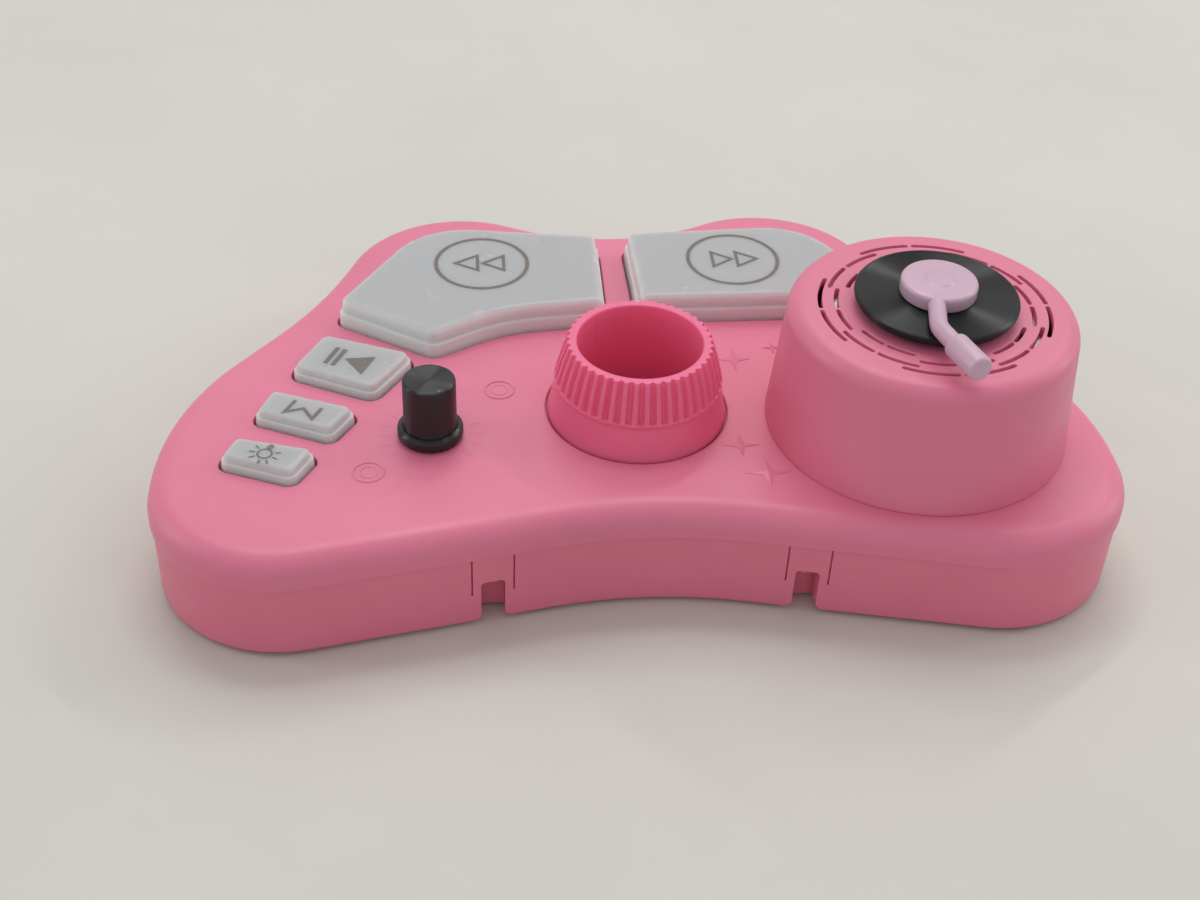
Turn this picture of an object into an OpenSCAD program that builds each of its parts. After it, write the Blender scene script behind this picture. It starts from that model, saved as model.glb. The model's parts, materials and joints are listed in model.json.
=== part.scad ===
// Toy music console: two lit drum pads, three buttons, a knob, a fluted turning
// ring with a socket, and a round speaker turret with a record disc and tone arm.
// +X right, +Y back, +Z up. The origin is under the middle, on the table.

/* [Body] */
// Width of the body, left to right
body_w = 224; // [220:1:280]
// Depth of the body, front to back
body_d = 142; // [140:1:175]
// Height of the top face above the table
deck_z = 28; // [27:0.5:36]
// Height of the joint line between the two shells
parting_z = 20; // [19.8:0.1:21]
// Wall thickness of both shells
wall = 2.2; // [1.8:0.1:2.6]
// Radius of the rounded top edge
edge_r = 5.5; // [3:0.5:7]
// Height of the rubber feet below the case
foot_h = 0.8; // [0.5:0.1:1.5]

/* [Turret] */
// Radius of the turret where it meets the top face
turret_base_r = 35.5; // [34.5:0.5:37]
// Radius of the turret at its top
turret_top_r = 33.2; // [32.5:0.1:34]
// Height of the turret's flat top above the top face
turret_h = 32; // [29:1:40]
// Distance from the turret to the right side of the body
turret_margin = 10.8; // [8:0.1:14]
// Width of the slots in the speaker grille
slot_w = 1.2; // [0.8:0.1:1.5]

/* [Disc and arm] */
// Radius of the record disc
disc_r = 18.6; // [16:0.1:21]
// Thickness of the record disc
disc_t = 2.5; // [2:0.1:3.5]
// Radius of the arm's round hub
hub_r = 8.7; // [7:0.1:10]
// Thickness of the arm's hub
hub_t = 3.8; // [3:0.1:5]
// Radius of the arm's tube
arm_r = 2; // [1.5:0.1:2.5]
// Radius of the arm's thick head
arm_head_r = 2.9; // [2.5:0.1:3.2]

/* [Ring and socket] */
// Radius of the socket's bore
socket_r = 14.65; // [13.5:0.05:14.9]
// Radius of the ring's foot
ring_foot_r = 21.2; // [20.6:0.1:23]
// Height of the ring above the top face
ring_h = 19.1; // [16:0.1:24]
// Number of flutes round the ring
flutes = 44; // [24:1:52]

/* [Knob] */
// Radius of the knob's skirt
knob_skirt_r = 8; // [7:0.1:9]
// Radius of the knob's grip
knob_r = 6.4; // [5.5:0.1:6.8]
// Height of the knob above the top face
knob_h = 16; // [13:0.5:20]

/* [Pads and buttons] */
// Height of the drum pads above the top face
pad_h = 7; // [5:0.5:9]
// Distance that a drum pad is pressed down
pad_travel = 1.8; // [1:0.1:1.8]
// Height of the buttons above the top face
button_h = 3.5; // [2.5:0.5:5]
// Distance that a button is pressed down
button_travel = 1.3; // [0.8:0.1:1.8]
// Gap round each pad and button
key_gap = 0.5; // [0.3:0.1:0.8]

/* [Power] */
// Radius of a battery cell (AA)
cell_r = 7.1; // [6.9:0.05:7.15]
// Length of a battery cell (AA)
cell_l = 50; // [49:0.5:50.5]

/* [Hidden] */
$fn = 48;

gap = 0.3;            // room between pieces that move past each other
fit = 0.06;           // radial room of a running fit
touch = 0.08;         // radial room of a push fit within one body
xl = -body_w / 2;
xr = body_w / 2;
yf = -body_d / 2;
yb = body_d / 2;
case_z = foot_h;
floor_z = case_z + wall;
ceiling_z = deck_z - wall;
shell_step = 0.5;     // the upper shell stands proud of the lower one by this
bottom_edge_r = 1.5;

// Centres of the round features
turret = [xr - turret_base_r - turret_margin, -26];
turret_z = deck_z + turret_h;
grille_t = 2;
turret_hole_r = turret_base_r - 1;
knob = [xl + 63.2, -27.8];

// ---------------------------------------------------------------- outlines

function unit(v) = v / norm(v);
function xy(p) = [p[0], p[1]];
function left_of(v) = [-v[1], v[0]];
function wrap(p, i) = p[(i + len(p)) % len(p)];
function edge_dir(p, i) = unit(xy(wrap(p, i + 1)) - xy(wrap(p, i)));
function turn_at(p, i) =
    let (u = edge_dir(p, i - 1), v = edge_dir(p, i))
    atan2(u[0] * v[1] - u[1] * v[0], u * v);

// Corner points moved inward by d, each with the radius that keeps its arc parallel
function moved_in(p, d) = [
    for (i = [0:len(p) - 1])
        let (n = left_of(edge_dir(p, i - 1)), m = left_of(edge_dir(p, i)),
             q = xy(p[i]) + (n + m) * d / (1 + n * m),
             r = turn_at(p, i) > 0 ? p[i][2] - d : p[i][2] + d)
        [q[0], q[1], max(r, 0.2)]
];

// Share of its radius that a corner keeps, so that arcs never run into each other
function tangent(p, i) = let (k = (i + len(p)) % len(p)) p[k][2] * tan(abs(turn_at(p, k)) / 2);
function edge_len(p, i) = norm(xy(wrap(p, i + 1)) - xy(wrap(p, i)));
function edge_share(p, i) = min(1, 0.97 * edge_len(p, i) / (tangent(p, i) + tangent(p, i + 1)));
function corner_r(p, i) = p[i][2] * min(edge_share(p, i - 1), edge_share(p, i));

function corner_arc(p, i, step) =
    let (t = turn_at(p, i), u = edge_dir(p, i - 1), s = sign(t),
         r = corner_r(p, i),
         start = xy(p[i]) - u * r * tan(abs(t) / 2),
         centre = start + s * r * left_of(u),
         a = atan2(start[1] - centre[1], start[0] - centre[0]),
         n = max(1, ceil(abs(t) / step)))
    [for (k = [0:n]) centre + r * [cos(a + t * k / n), sin(a + t * k / n)]];

// A closed outline with rounded corners, from corner points [x, y, radius]
function rounded(p, step = 9) =
    [for (i = [0:len(p) - 1]) each corner_arc(p, i, step)];

module area(corners, inset = 0) {
    polygon(rounded(moved_in(corners, inset)));
}

module slab(corners, z0, z1, inset = 0) {
    translate([0, 0, z0]) linear_extrude(z1 - z0) area(corners, inset);
}

// A solid through a stack of insets [z, inset]: a rim of facets round a straight core
module lofted(corners, levels) {
    low = levels[0][0];
    high = levels[len(levels) - 1][0];
    core = max([for (l = levels) l[1]]) + 1.5;
    profile = concat(levels, [[high, core], [low, core]]);
    rings = [for (l = profile) [for (q = rounded(moved_in(corners, l[1]))) [q[0], q[1], l[0]]]];
    n = len(rings[0]);
    m = len(rings);
    faces = [
        for (k = [0:m - 1], i = [0:n - 1])
            let (j = (i + 1) % n, a = k * n, b = ((k + 1) % m) * n)
            each [[a + i, b + i, b + j], [a + i, b + j, a + j]]
    ];
    polyhedron([for (r = rings) each r], faces, convexity = 6);
    slab(corners, low, high, core - 0.5);
}

// Right half of the body's outline, front to back
half_outline = [
    [xr, yf - 6.6, 30],
    [xr, yf + 57, 70],
    [xr - 34.2, yb - 41.1, 120],
    [xr - 55.3, yb + 12.8, 31]
];
raw_outline = concat(
    [[0, yf + 16.4, 110]],
    half_outline,
    [[0, yb - 16.6, 54]],
    [for (i = [3:-1:0]) [-half_outline[i][0], half_outline[i][1], half_outline[i][2]]]
);
raw_y = [for (q = rounded(raw_outline)) q[1]];
raw_mid = (max(raw_y) + min(raw_y)) / 2;
outline = [for (q = raw_outline) [q[0], q[1] - raw_mid, q[2]]];

// Drum pads and buttons, at the top face, counter-clockwise
left_pad_edge = [
    [xl + 39.5, yb - 52.5, 3],
    [xl + 64.2, yb - 68.4, 4],
    [-30.3, yb - 58.1, 40],
    [-4.2, yb - 55.2, 2.5],
    [-3.8, yb - 22.4, 2.5],
    [xl + 61.2, yb - 16.2, 22]
];
right_pad_edge = [
    [3.6, yb - 54.2, 2.5],
    [xr - 40, yb - 53.5, 4],
    [xr - 60.5, yb - 18, 20],
    [3, yb - 21.2, 2.5]
];
play_edge = [
    [xl + 29.3, -4.5, 3],
    [xl + 50, -14.6, 3],
    [xl + 60.2, 1.1, 3],
    [xl + 37.1, 10.2, 3]
];
mode_edge = [
    [xl + 21.9, -22.1, 2.5],
    [xl + 40.7, -30.4, 2.5],
    [xl + 46.8, -20.4, 2.5],
    [xl + 26, -12.3, 2.5]
];
light_edge = [
    [xl + 15.3, -38.3, 2.5],
    [xl + 32.7, -45.4, 2.5],
    [xl + 38.4, -35.5, 2.5],
    [xl + 19, -30, 2.5]
];
keys = [left_pad_edge, right_pad_edge, play_edge, mode_edge, light_edge];

function middle(p) = [for (k = [0:1]) (min([for (q = p) q[k]]) + max([for (q = p) q[k]])) / 2];

// ---------------------------------------------------------------- shared places

// Screws that join the shells
post_r = 4.6;
post_at = [
    [xr - 9, -40], [xr - 55, yb - 14.5], [xl + 55, yb - 14.5],
    [xl + 10, -33], [xl + 42, -55], [20, yf + 20.5], [-20, yf + 20.5]
];
screw_r = 1.25;
screw_head_r = 2.7;
screw_head_t = 1.8;
screw_pilot_r = screw_r + touch;
screw_recess_r = screw_head_r + 0.5;
screw_seat_z = case_z + 6;
screw_tip_z = deck_z - wall - 2;

// Slide switch in the rear wall
switch_z = case_z + 9.2;
switch_travel = 4;
slider_w = 4;
slider_h = 3;
dip = 5;
dip_sagitta = corner_r(outline, dip) * (1 / cos(turn_at(outline, dip) / 2) - 1);
rear_wall_y = outline[dip][1] + dip_sagitta - shell_step;
switch_y = rear_wall_y - wall;
switch_room = [slider_w + switch_travel + 0.8, 1.6, slider_h + 2 * gap];
switch_body_d = 3;

// Battery box, cells lying along X
cells = 3;
cell_pitch = 2 * cell_r + 0.3;
cell_z = floor_z + gap + cell_r;
box_wall = 1.2;
box_l = cell_l + 6;
box_w = cells * cell_pitch + 3.1;
box_y1 = switch_y - switch_body_d - gap - box_wall;
box_y0 = box_y1 - box_w;
box_top = cell_z + cell_r + gap;
box_roof = 1.2;
contact_t = 0.35;
strip_w = 4.6;
strip_h = 6;
tongue_l = 2.2;
tongue_t = 1;
tongue_w = 8;
door_t = wall - 0.2;
door_l = box_l - 3;
door_y0 = box_y0 - strip_w;
door_y1 = box_y1 - tongue_l - 0.7;
door_screw_at = [0, door_y0 + 2.6];
door_screw_r = 0.95;
door_screw_l = 3;
door_head_r = 2.2;
door_head_t = 1.2;
spring_l = box_l - cell_l - 2 * contact_t;
lead_r = 0.8;
battery_lead_y = box_y0 + cell_pitch;
function cell_y(k) = box_y0 + 0.3 + (k + 0.5) * cell_pitch;

// Ring and socket just in front of the battery box
ring_tube_r = socket_r + 2.35;
ring_room = 2.6;
ring = [0, door_y0 - gap - box_wall - ring_room - ring_tube_r];

// Boards just clear of the battery box, and the keys' flanges above them
board_t = 1.6;
board_z = box_top + box_roof + 0.6;
board_top = board_z + board_t;
flange_t = 1.2;
flange_top = ceiling_z - gap;
flange_w = 1.2;
dome_gap = 0.05;

// Slots for clips in the front wall, each in a tab between two grooves
clip_x = 35.5;
clip_w = 6.2;
clip_top = case_z + 12;
groove_at = 4.7;
groove_w = 0.4;
groove_depth = 1;
groove_z = case_z + 8.7;

// Speaker under the grille
speaker_top = turret_z - grille_t;
speaker_r = 25;
rim_t = 1.5;
rim_in_r = 21;
basket_h = 12;
magnet_r = 14;
magnet_t = 8;
voice_coil_r = 7;
cone_r = 19;
cone_low_r = 8;
cone_depth = 6.5;
speaker_post_r = 2;
speaker_post_at = speaker_r + 2.3;
speaker_head_r = turret_top_r - wall - 0.8 - speaker_post_at;

// Disc, arm and their shafts
boss_r = 6;
boss_h = 0.9;
disc_z = turret_z + boss_h + gap;
tube_r = 4;
pin_r = 2.4;
hub_z = disc_z + disc_t + gap;
clip_t = 0.8;
tube_end = speaker_top - gap - clip_t - 1;
disc_clip_z = speaker_top - gap - clip_t;
tube_groove_r = tube_r - 0.6;
pin_end = tube_end - gap;
arm_screw_r = 1.1;

// Ring and the tube below it
ring_seat_r = ring_foot_r + gap + 0.1;
ring_seat_depth = 1.2;
ring_plate_z = deck_z - ring_seat_depth - 2;
ring_bottom = ring_plate_z - 4;
ring_top = deck_z + ring_h;
ring_clip_t = 1;
ring_clip_z = ring_plate_z - gap - ring_clip_t - 0.05;
ring_groove_r = ring_tube_r - 0.9;
rim_r = socket_r + 1.6;
flute_w = 1.3;

// Potentiometer
pot_r = 3;
pot_bush_r = 3.5;
pot_body_t = 6.5;
knob_gap = 0.4;

pot_foot_z = board_z - pot_body_t;

// Plungers, domes and lamps
plunger_r = 2;
dome_r = 3.3;
dome_top = flange_top - flange_t;
left_plungers = [[xl + 58, yb - 50], [-22, yb - 40]];
right_plungers = [[xr - 58, yb - 40], [22, yb - 40]];
lamp_r = 1.5;
lamp_at = concat(
    [for (s = [-1, 1], x = [14, 32, 42]) [s * x, yb - 32]],
    [for (e = [play_edge, mode_edge, light_edge]) middle(e) + [5.1, -0.7]]
);

// Rubber feet
foot_r = 5;
foot_seat = 0.6;
foot_at = [for (s = [-1, 1], q = [[20, -46], [60, -57], [66, yb - 20]]) [s * (xr - q[0]), q[1]]];

// Board screws
board_post_r = 2.6;
board_screw_r = 1;
pad_board_x = xr - 48;
pad_board_y0 = yb - 62;
pad_board_y1 = yb - 22;
board_inset = 4;
pad_board_screws = [
    for (x = [-1, 1], y = [pad_board_y0 + board_inset, pad_board_y1 - board_inset])
        [x * (pad_board_x - board_inset), y]
];
button_board_edge = [
    [xl + 17, -48, 3], [xl + 70, -48, 3], [xl + 70, 5, 3], [xl + 34, 5, 3], [xl + 24, -14, 3]
];
button_board_screws = [[xl + 21, -44], [xl + 66, -44], [xl + 66, 1], [xl + 37, 1]];
board_screw_at = concat(pad_board_screws, button_board_screws);
board_screw_head_t = 1.1;

// ---------------------------------------------------------------- shells

module at(p, z = 0) {
    translate([p[0], p[1], z]) children();
}

module turret_outside() {
    top_edge = 4;
    at(turret, deck_z) rotate_extrude($fn = 96) polygon(concat(
        [[0, 0], [turret_base_r, 0]],
        [for (a = [0:15:90]) [
            turret_top_r - top_edge + top_edge * cos(a),
            turret_h - top_edge + top_edge * sin(a)
        ]],
        [[0, turret_h]]
    ));
}

module turret_inside() {
    at(turret, deck_z - wall - 1) rotate_extrude($fn = 96) polygon([
        [0, 0],
        [turret_base_r - wall, 0],
        [turret_base_r - wall, wall + 1],
        [turret_top_r - wall - 0.4, turret_h + wall + 1 - grille_t - 2],
        [turret_top_r - wall - 0.8, turret_h + wall + 1 - grille_t],
        [0, turret_h + wall + 1 - grille_t]
    ]);
}

// One curved slot, centred on angle a
module grille_slot(r, a, half) {
    rotate([0, 0, a - half]) rotate_extrude(angle = 2 * half, $fn = 96)
        translate([r - slot_w / 2, -grille_t - 1]) square([slot_w, grille_t + 2]);
}

// Rows of slots, each row staggered against the next, with a bridge in mid slot
module grille_slots() {
    bridge = 1.6;
    rows = [[26, 0, 29], [24.2, 45, 24], [22.3, 0, 22], [20.3, 45, 20]];
    at(turret, turret_z) for (row = rows, q = [0:3], side = [-1, 1])
        grille_slot(row[0], row[1] + 90 * q + side * (row[2] / 2 + bridge / 2), row[2] / 2 - bridge / 2);
}

// Four-point star standing proud of the top face
module star(p, half_w, half_h) {
    waist = 0.22;
    at(p, deck_z - 0.1) linear_extrude(0.5) polygon([
        [half_w, 0], [half_w * waist, half_h * waist], [0, half_h], [-half_w * waist, half_h * waist],
        [-half_w, 0], [-half_w * waist, -half_h * waist], [0, -half_h], [half_w * waist, -half_h * waist]
    ]);
}

module double_ring(p) {
    at(p, deck_z - 0.1) {
        tube(3.8, 3.2, 0.5);
        tube(2.2, 1.6, 0.5);
    }
}

module tube(r_out, r_in, h) {
    difference() {
        cylinder(r = r_out, h = h);
        translate([0, 0, -1]) cylinder(r = r_in, h = h + 2);
    }
}

module raised_marks() {
    double_ring([xl + 49.1, -40.8]);
    double_ring([xl + 79.7, -11]);
    star([25.8, 0], 4, 5.3);
    star([23.1, -34.1], 4.2, 4.2);
    star([27.7, -44], 5.4, 5.2);
    star([36.4, 4.3], 2.7, 2.7);
    for (a = [0:20:340])
        at(knob, deck_z - 0.1) rotate([0, 0, a]) translate([knob_skirt_r + 1, -0.2]) cube([3, 0.4, 0.4]);
}

module round_turret(z) {
    for (a = [45:90:315]) at(turret, z) rotate([0, 0, a])
        translate([speaker_post_at, 0, 0]) children();
}

module speaker_posts() {
    round_turret(speaker_top - rim_t + 0.1) tube(speaker_post_r, board_screw_r + touch, rim_t);
}

// Turret with the grille in its top, its spigot let into the round hole in the deck
module speaker_turret() {
    color([0.86, 0.52, 0.61]) {
        difference() {
            union() {
                turret_outside();
                at(turret, ceiling_z) cylinder(r = turret_hole_r - touch, h = wall + 0.1, $fn = 96);
                at(turret, turret_z - 0.1) cylinder(r = boss_r, h = boss_h + 0.1);
            }
            turret_inside();
            grille_slots();
            at(turret, speaker_top - 1) cylinder(r = tube_r + fit, h = 10);
        }
        speaker_posts();
    }
}

module upper_shell() {
    color([0.86, 0.52, 0.61]) difference() {
        union() {
            difference() {
                lofted(outline, concat(
                    [[parting_z, 0]],
                    [for (a = [0:18:90]) [deck_z - edge_r + edge_r * sin(a), edge_r - edge_r * cos(a)]]
                ));
                slab(outline, parting_z - 1, deck_z - edge_r, wall);
                slab(outline, deck_z - edge_r - 0.01, ceiling_z, wall + 2);
            }
            at(ring, ring_plate_z) cylinder(r = ring_seat_r + wall, h = deck_z - ring_plate_z - 0.01);
            for (p = post_at) at(p, parting_z) cylinder(r = post_r, h = deck_z - parting_z - 1);
            raised_marks();
        }
        at(turret, ceiling_z - 1) cylinder(r = turret_hole_r, h = 10, $fn = 96);
        for (k = keys) slab(k, ceiling_z - 1, deck_z + 1, -key_gap);
        at(ring, deck_z - ring_seat_depth) cylinder(r = ring_seat_r, h = 10, $fn = 96);
        at(ring, ring_plate_z - 1) cylinder(r = ring_tube_r + fit, h = 10, $fn = 96);
        at(knob, ceiling_z - 1) cylinder(r = pot_bush_r + gap, h = 10);
        for (p = post_at) at(p, parting_z - 1)
            cylinder(r = screw_pilot_r, h = screw_tip_z + 0.5 - parting_z + 1);
    }
}

module posts(places, r, z1) {
    for (p = places) at(p, case_z + 0.5) cylinder(r = r, h = z1 - case_z - 0.5);
}

module battery_box() {
    outer_x = box_l / 2 + box_wall;
    translate([-outer_x, box_y0 - box_wall, case_z + 0.5])
        cube([2 * outer_x, box_w + 2 * box_wall, box_top + box_roof - case_z - 0.5]);
    translate([-outer_x, door_y0 - gap - box_wall, case_z + 0.5])
        cube([2 * outer_x, strip_w + gap + 2 * box_wall, strip_h + wall]);
}

module battery_room() {
    translate([-box_l / 2, box_y0, floor_z]) cube([box_l, box_w, box_top - floor_z]);
    translate([-door_l / 2 - gap, door_y0 - gap, case_z - 1])
        cube([door_l + 2 * gap, door_y1 - door_y0 + gap, wall + 1.02]);
    at(door_screw_at, floor_z) cylinder(r = door_screw_r + 0.4, h = door_screw_l + 2);
    for (s = [-1, 1]) translate([s * (box_l / 2 - 1.3), battery_lead_y, box_top - 1])
        cylinder(r = lead_r + 0.2, h = 5);
}

// Pocket behind a clip slot, trimmed to the inside of the front wall
module clip_pocket(x) {
    intersection() {
        translate([x - clip_w / 2 - wall, yf + 5, case_z + 0.5])
            cube([clip_w + 2 * wall, 16, clip_top + 1.4 - case_z]);
        slab(outline, 0, parting_z, shell_step + 0.5);
    }
}

// Narrow grooves in the face of the front wall, on both sides of each clip slot
module clip_grooves() {
    difference() {
        for (x = [-clip_x, clip_x], s = [-1, 1])
            translate([x + s * groove_at - groove_w / 2, yf - 5, groove_z]) cube([groove_w, 24, parting_z]);
        slab(outline, 0, 2 * parting_z, shell_step + groove_depth);
    }
}

module lower_shell() {
    color([0.84, 0.47, 0.57]) difference() {
        union() {
            difference() {
                lofted(outline, concat(
                    [for (a = [0:30:90]) [
                        case_z + bottom_edge_r - bottom_edge_r * cos(a),
                        shell_step + bottom_edge_r - bottom_edge_r * sin(a)
                    ]],
                    [[parting_z, shell_step]]
                ));
                slab(outline, floor_z, parting_z + 1, wall + shell_step);
            }
            posts(post_at, post_r, parting_z);
            posts(board_screw_at, board_post_r, board_z);
            battery_box();
            clip_pocket(-clip_x);
            clip_pocket(clip_x);
        }
        battery_room();
        for (p = post_at) {
            at(p, case_z - 1) cylinder(r = screw_recess_r, h = screw_seat_z - case_z + 1);
            at(p, case_z) cylinder(r = screw_r + gap, h = parting_z);
        }
        for (p = board_screw_at) at(p, board_z - 8) cylinder(r = board_screw_r + touch, h = 10);
        for (p = foot_at) at(p, case_z - 1) cylinder(r = foot_r + 0.1, h = foot_seat + 1);
        // Slots for clips, open in front and below
        for (x = [-clip_x, clip_x]) translate([x - clip_w / 2, yf - 5, case_z - 1])
            cube([clip_w, 24, clip_top - case_z + 1]);
        clip_grooves();
        // Opening for the slide switch
        translate([-switch_room[0] / 2, switch_y - 1, switch_z - switch_room[2] / 2])
            cube([switch_room[0], wall + 8, switch_room[2]]);
    }
}

module case_screws() {
    color([0.6, 0.6, 0.62]) for (p = post_at) {
        at(p, screw_seat_z - screw_head_t) crossed_head(screw_head_r, screw_head_t);
        at(p, screw_seat_z) cylinder(r = screw_r, h = screw_tip_z - screw_seat_z);
    }
}

// Pan head with its cross recess underneath
module crossed_head(r, h) {
    difference() {
        cylinder(r = r, h = h);
        for (a = [0, 90]) rotate([0, 0, a]) translate([-0.6 * r, -0.3, -1]) cube([1.2 * r, 0.6, 1.5]);
    }
}

module rubber_feet() {
    color([0.2, 0.2, 0.2]) for (p = foot_at) at(p) cylinder(r = foot_r, h = case_z + foot_seat);
}

// ---------------------------------------------------------------- pads and buttons

// A hollow key: flange under the deck, stepped bevel above it, plungers inside
module key(edge, height, plungers) {
    top = deck_z + height;
    low = flange_top - flange_t;
    key_wall = 2;
    difference() {
        union() {
            lofted(edge, [
                [flange_top - 0.1, 0], [deck_z + 0.45 * height, 0.3],
                [deck_z + 0.5 * height, 0.8], [top - 0.2 * height, 1.1], [top, 2.2]
            ]);
            slab(edge, low, flange_top, -flange_w);
        }
        slab(edge, low - 1, top - key_wall - 0.4, key_wall + 0.6);
    }
    for (p = plungers) at(p, dome_top) cylinder(r = plunger_r, h = top - key_wall - dome_top);
}

// Rubber domes: a stiff foot, and above it the cone that gives way by the travel
module domes(places, travel) {
    foot_t = dome_top - dome_gap - board_top - travel;
    color([0.85, 0.85, 0.82]) for (p = places) at(p, board_top) rotate_extrude()
        polygon([[0, 0], [dome_r, 0], [dome_r, foot_t], [plunger_r, foot_t + travel], [0, foot_t + travel]]);
}

module button(edge) {
    color([0.78, 0.8, 0.82]) key(edge, button_h, [middle(edge)]);
}

module left_pad() {
    color([0.78, 0.8, 0.82]) key(left_pad_edge, pad_h, left_plungers);
}

module right_pad() {
    color([0.78, 0.8, 0.82]) key(right_pad_edge, pad_h, right_plungers);
}

module play_button() {
    button(play_edge);
}

module mode_button() {
    button(mode_edge);
}

module light_button() {
    button(light_edge);
}

module left_pad_domes() {
    domes(left_plungers, pad_travel);
}

module right_pad_domes() {
    domes(right_plungers, pad_travel);
}

module play_dome() {
    domes([middle(play_edge)], button_travel);
}

module mode_dome() {
    domes([middle(mode_edge)], button_travel);
}

module light_dome() {
    domes([middle(light_edge)], button_travel);
}

// ---------------------------------------------------------------- boards

module pad_board() {
    color([0.16, 0.4, 0.22]) difference() {
        translate([-pad_board_x, pad_board_y0, board_z])
            cube([2 * pad_board_x, pad_board_y1 - pad_board_y0, board_t]);
        for (p = pad_board_screws) at(p, board_z - 1) cylinder(r = board_screw_r + 0.2, h = 5);
    }
}

module button_board() {
    color([0.16, 0.4, 0.22]) difference() {
        slab(button_board_edge, board_z, board_top);
        for (p = button_board_screws) at(p, board_z - 1) cylinder(r = board_screw_r + 0.2, h = 5);
        at(knob, board_z - 1) cylinder(r = pot_bush_r + touch, h = 5);
    }
}

module board_screws() {
    color([0.6, 0.6, 0.62]) for (p = board_screw_at) {
        at(p, board_top) cylinder(r = 2, h = board_screw_head_t);
        at(p, board_z - 6) cylinder(r = board_screw_r, h = 6 + board_t);
    }
}

module pad_lamps() {
    shoulder = dome_top - board_top - 0.1 - lamp_r;
    color([0.95, 0.95, 0.9]) for (p = lamp_at) at(p, board_top) rotate_extrude() polygon(concat(
        [[0, 0], [lamp_r, 0]],
        [for (a = [0:15:90]) [lamp_r * cos(a), shoulder + lamp_r * sin(a)]]
    ));
}

module sound_chip() {
    color([0.12, 0.12, 0.13]) {
        translate([xr - 70, yb - 48, board_z - 1.6]) cube([9, 9, 1.6]);
        translate([xr - 70, yb - 36, board_z - 1.6]) cube([5, 4, 1.6]);
        at([xr - 60, yb - 34], board_z - 8) cylinder(r = 3, h = 8);
    }
}

// ---------------------------------------------------------------- knob

module knob_cap() {
    z0 = deck_z + knob_gap;
    skirt_h = 3.4;
    color([0.07, 0.07, 0.08]) at(knob) difference() {
        rotate_extrude($fn = 72) polygon([
            [0, z0], [knob_skirt_r - 0.6, z0], [knob_skirt_r, z0 + 0.5], [knob_skirt_r, z0 + 2],
            [knob_skirt_r - 0.9, z0 + skirt_h], [knob_r + 0.2, z0 + skirt_h],
            [knob_r - 0.3, deck_z + knob_h - 0.6], [knob_r - 0.9, deck_z + knob_h],
            [0, deck_z + knob_h]
        ]);
        translate([0, 0, z0 - 1]) cylinder(r = pot_r + touch, h = knob_h - 3);
    }
}

module pot_shaft() {
    shaft_l = deck_z + knob_h - 5.2 - pot_foot_z;
    color([0.75, 0.75, 0.78]) at(knob, pot_foot_z + 1) cylinder(r = pot_r, h = shaft_l);
}

module pot_body() {
    color([0.5, 0.5, 0.52]) at(knob) difference() {
        union() {
            translate([0, 0, pot_foot_z]) cylinder(r = 7.5, h = pot_body_t);
            translate([0, 0, pot_foot_z]) cylinder(r = pot_bush_r, h = deck_z - 0.8 - pot_foot_z);
        }
        translate([0, 0, pot_foot_z + 0.7]) cylinder(r = pot_r + fit, h = 30);
    }
}

// ---------------------------------------------------------------- ring and socket

module socket_ring() {
    foot_z = deck_z - ring_seat_depth + gap;
    band_z = deck_z + 0.34 * ring_h;
    color([0.85, 0.48, 0.58]) at(ring) difference() {
        union() {
            rotate_extrude($fn = 96) polygon([
                [0, ring_bottom], [ring_tube_r, ring_bottom], [ring_tube_r, foot_z], [ring_foot_r, foot_z],
                [ring_foot_r, deck_z + 0.4], [ring_foot_r - 1.9, band_z], [rim_r, ring_top - 0.5],
                [rim_r - 0.5, ring_top], [0, ring_top]
            ]);
            for (k = [0:flutes - 1]) rotate([90, 0, 360 * k / flutes])
                translate([0, 0, -flute_w / 2]) linear_extrude(flute_w) polygon([
                    [rim_r - 1, band_z + 0.4], [ring_foot_r - 0.9, band_z + 0.6],
                    [rim_r + 0.8, ring_top - 1.6], [rim_r - 1, ring_top - 0.8]
                ]);
        }
        translate([0, 0, ring_bottom - 1]) cylinder(r = socket_r, h = 60, $fn = 96);
        translate([0, 0, ring_clip_z]) tube(ring_tube_r + 1, ring_groove_r, ring_clip_t + 0.1);
    }
}

module ring_clip() {
    color([0.7, 0.7, 0.72]) at(ring, ring_clip_z + 0.05) difference() {
        tube(ring_tube_r + 2.4, ring_groove_r + 0.05, ring_clip_t);
        translate([0, -2, -1]) cube([30, 4, 4]);
    }
}

module socket_cup() {
    color([0.8, 0.42, 0.52]) at(ring, floor_z) difference() {
        cylinder(r = ring_tube_r, h = ring_bottom - gap - floor_z);
        translate([0, 0, 1.6]) cylinder(r = socket_r + 0.25, h = 30);
    }
}

// ---------------------------------------------------------------- speaker

module speaker_basket() {
    color([0.35, 0.35, 0.37]) at(turret, speaker_top) difference() {
        rotate_extrude($fn = 72) polygon([
            [magnet_r - 2, -basket_h], [magnet_r + 1, -basket_h], [rim_in_r + 0.6, -rim_t],
            [speaker_r, -rim_t], [speaker_r, 0], [rim_in_r, 0], [rim_in_r, -rim_t],
            [magnet_r + 0.4, 1 - basket_h], [magnet_r - 2, 1 - basket_h]
        ]);
        for (a = [45:90:315]) rotate([0, 0, a]) translate([magnet_r + 2, -4, 1.8 - basket_h])
            cube([8, 8, basket_h - rim_t - 3.2]);
    }
}

module speaker_magnet() {
    color([0.3, 0.3, 0.32]) at(turret, speaker_top - basket_h - magnet_t) {
        cylinder(r = magnet_r, h = magnet_t);
        cylinder(r = voice_coil_r - 1, h = magnet_t + basket_h - cone_depth - 3);
    }
}

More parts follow.
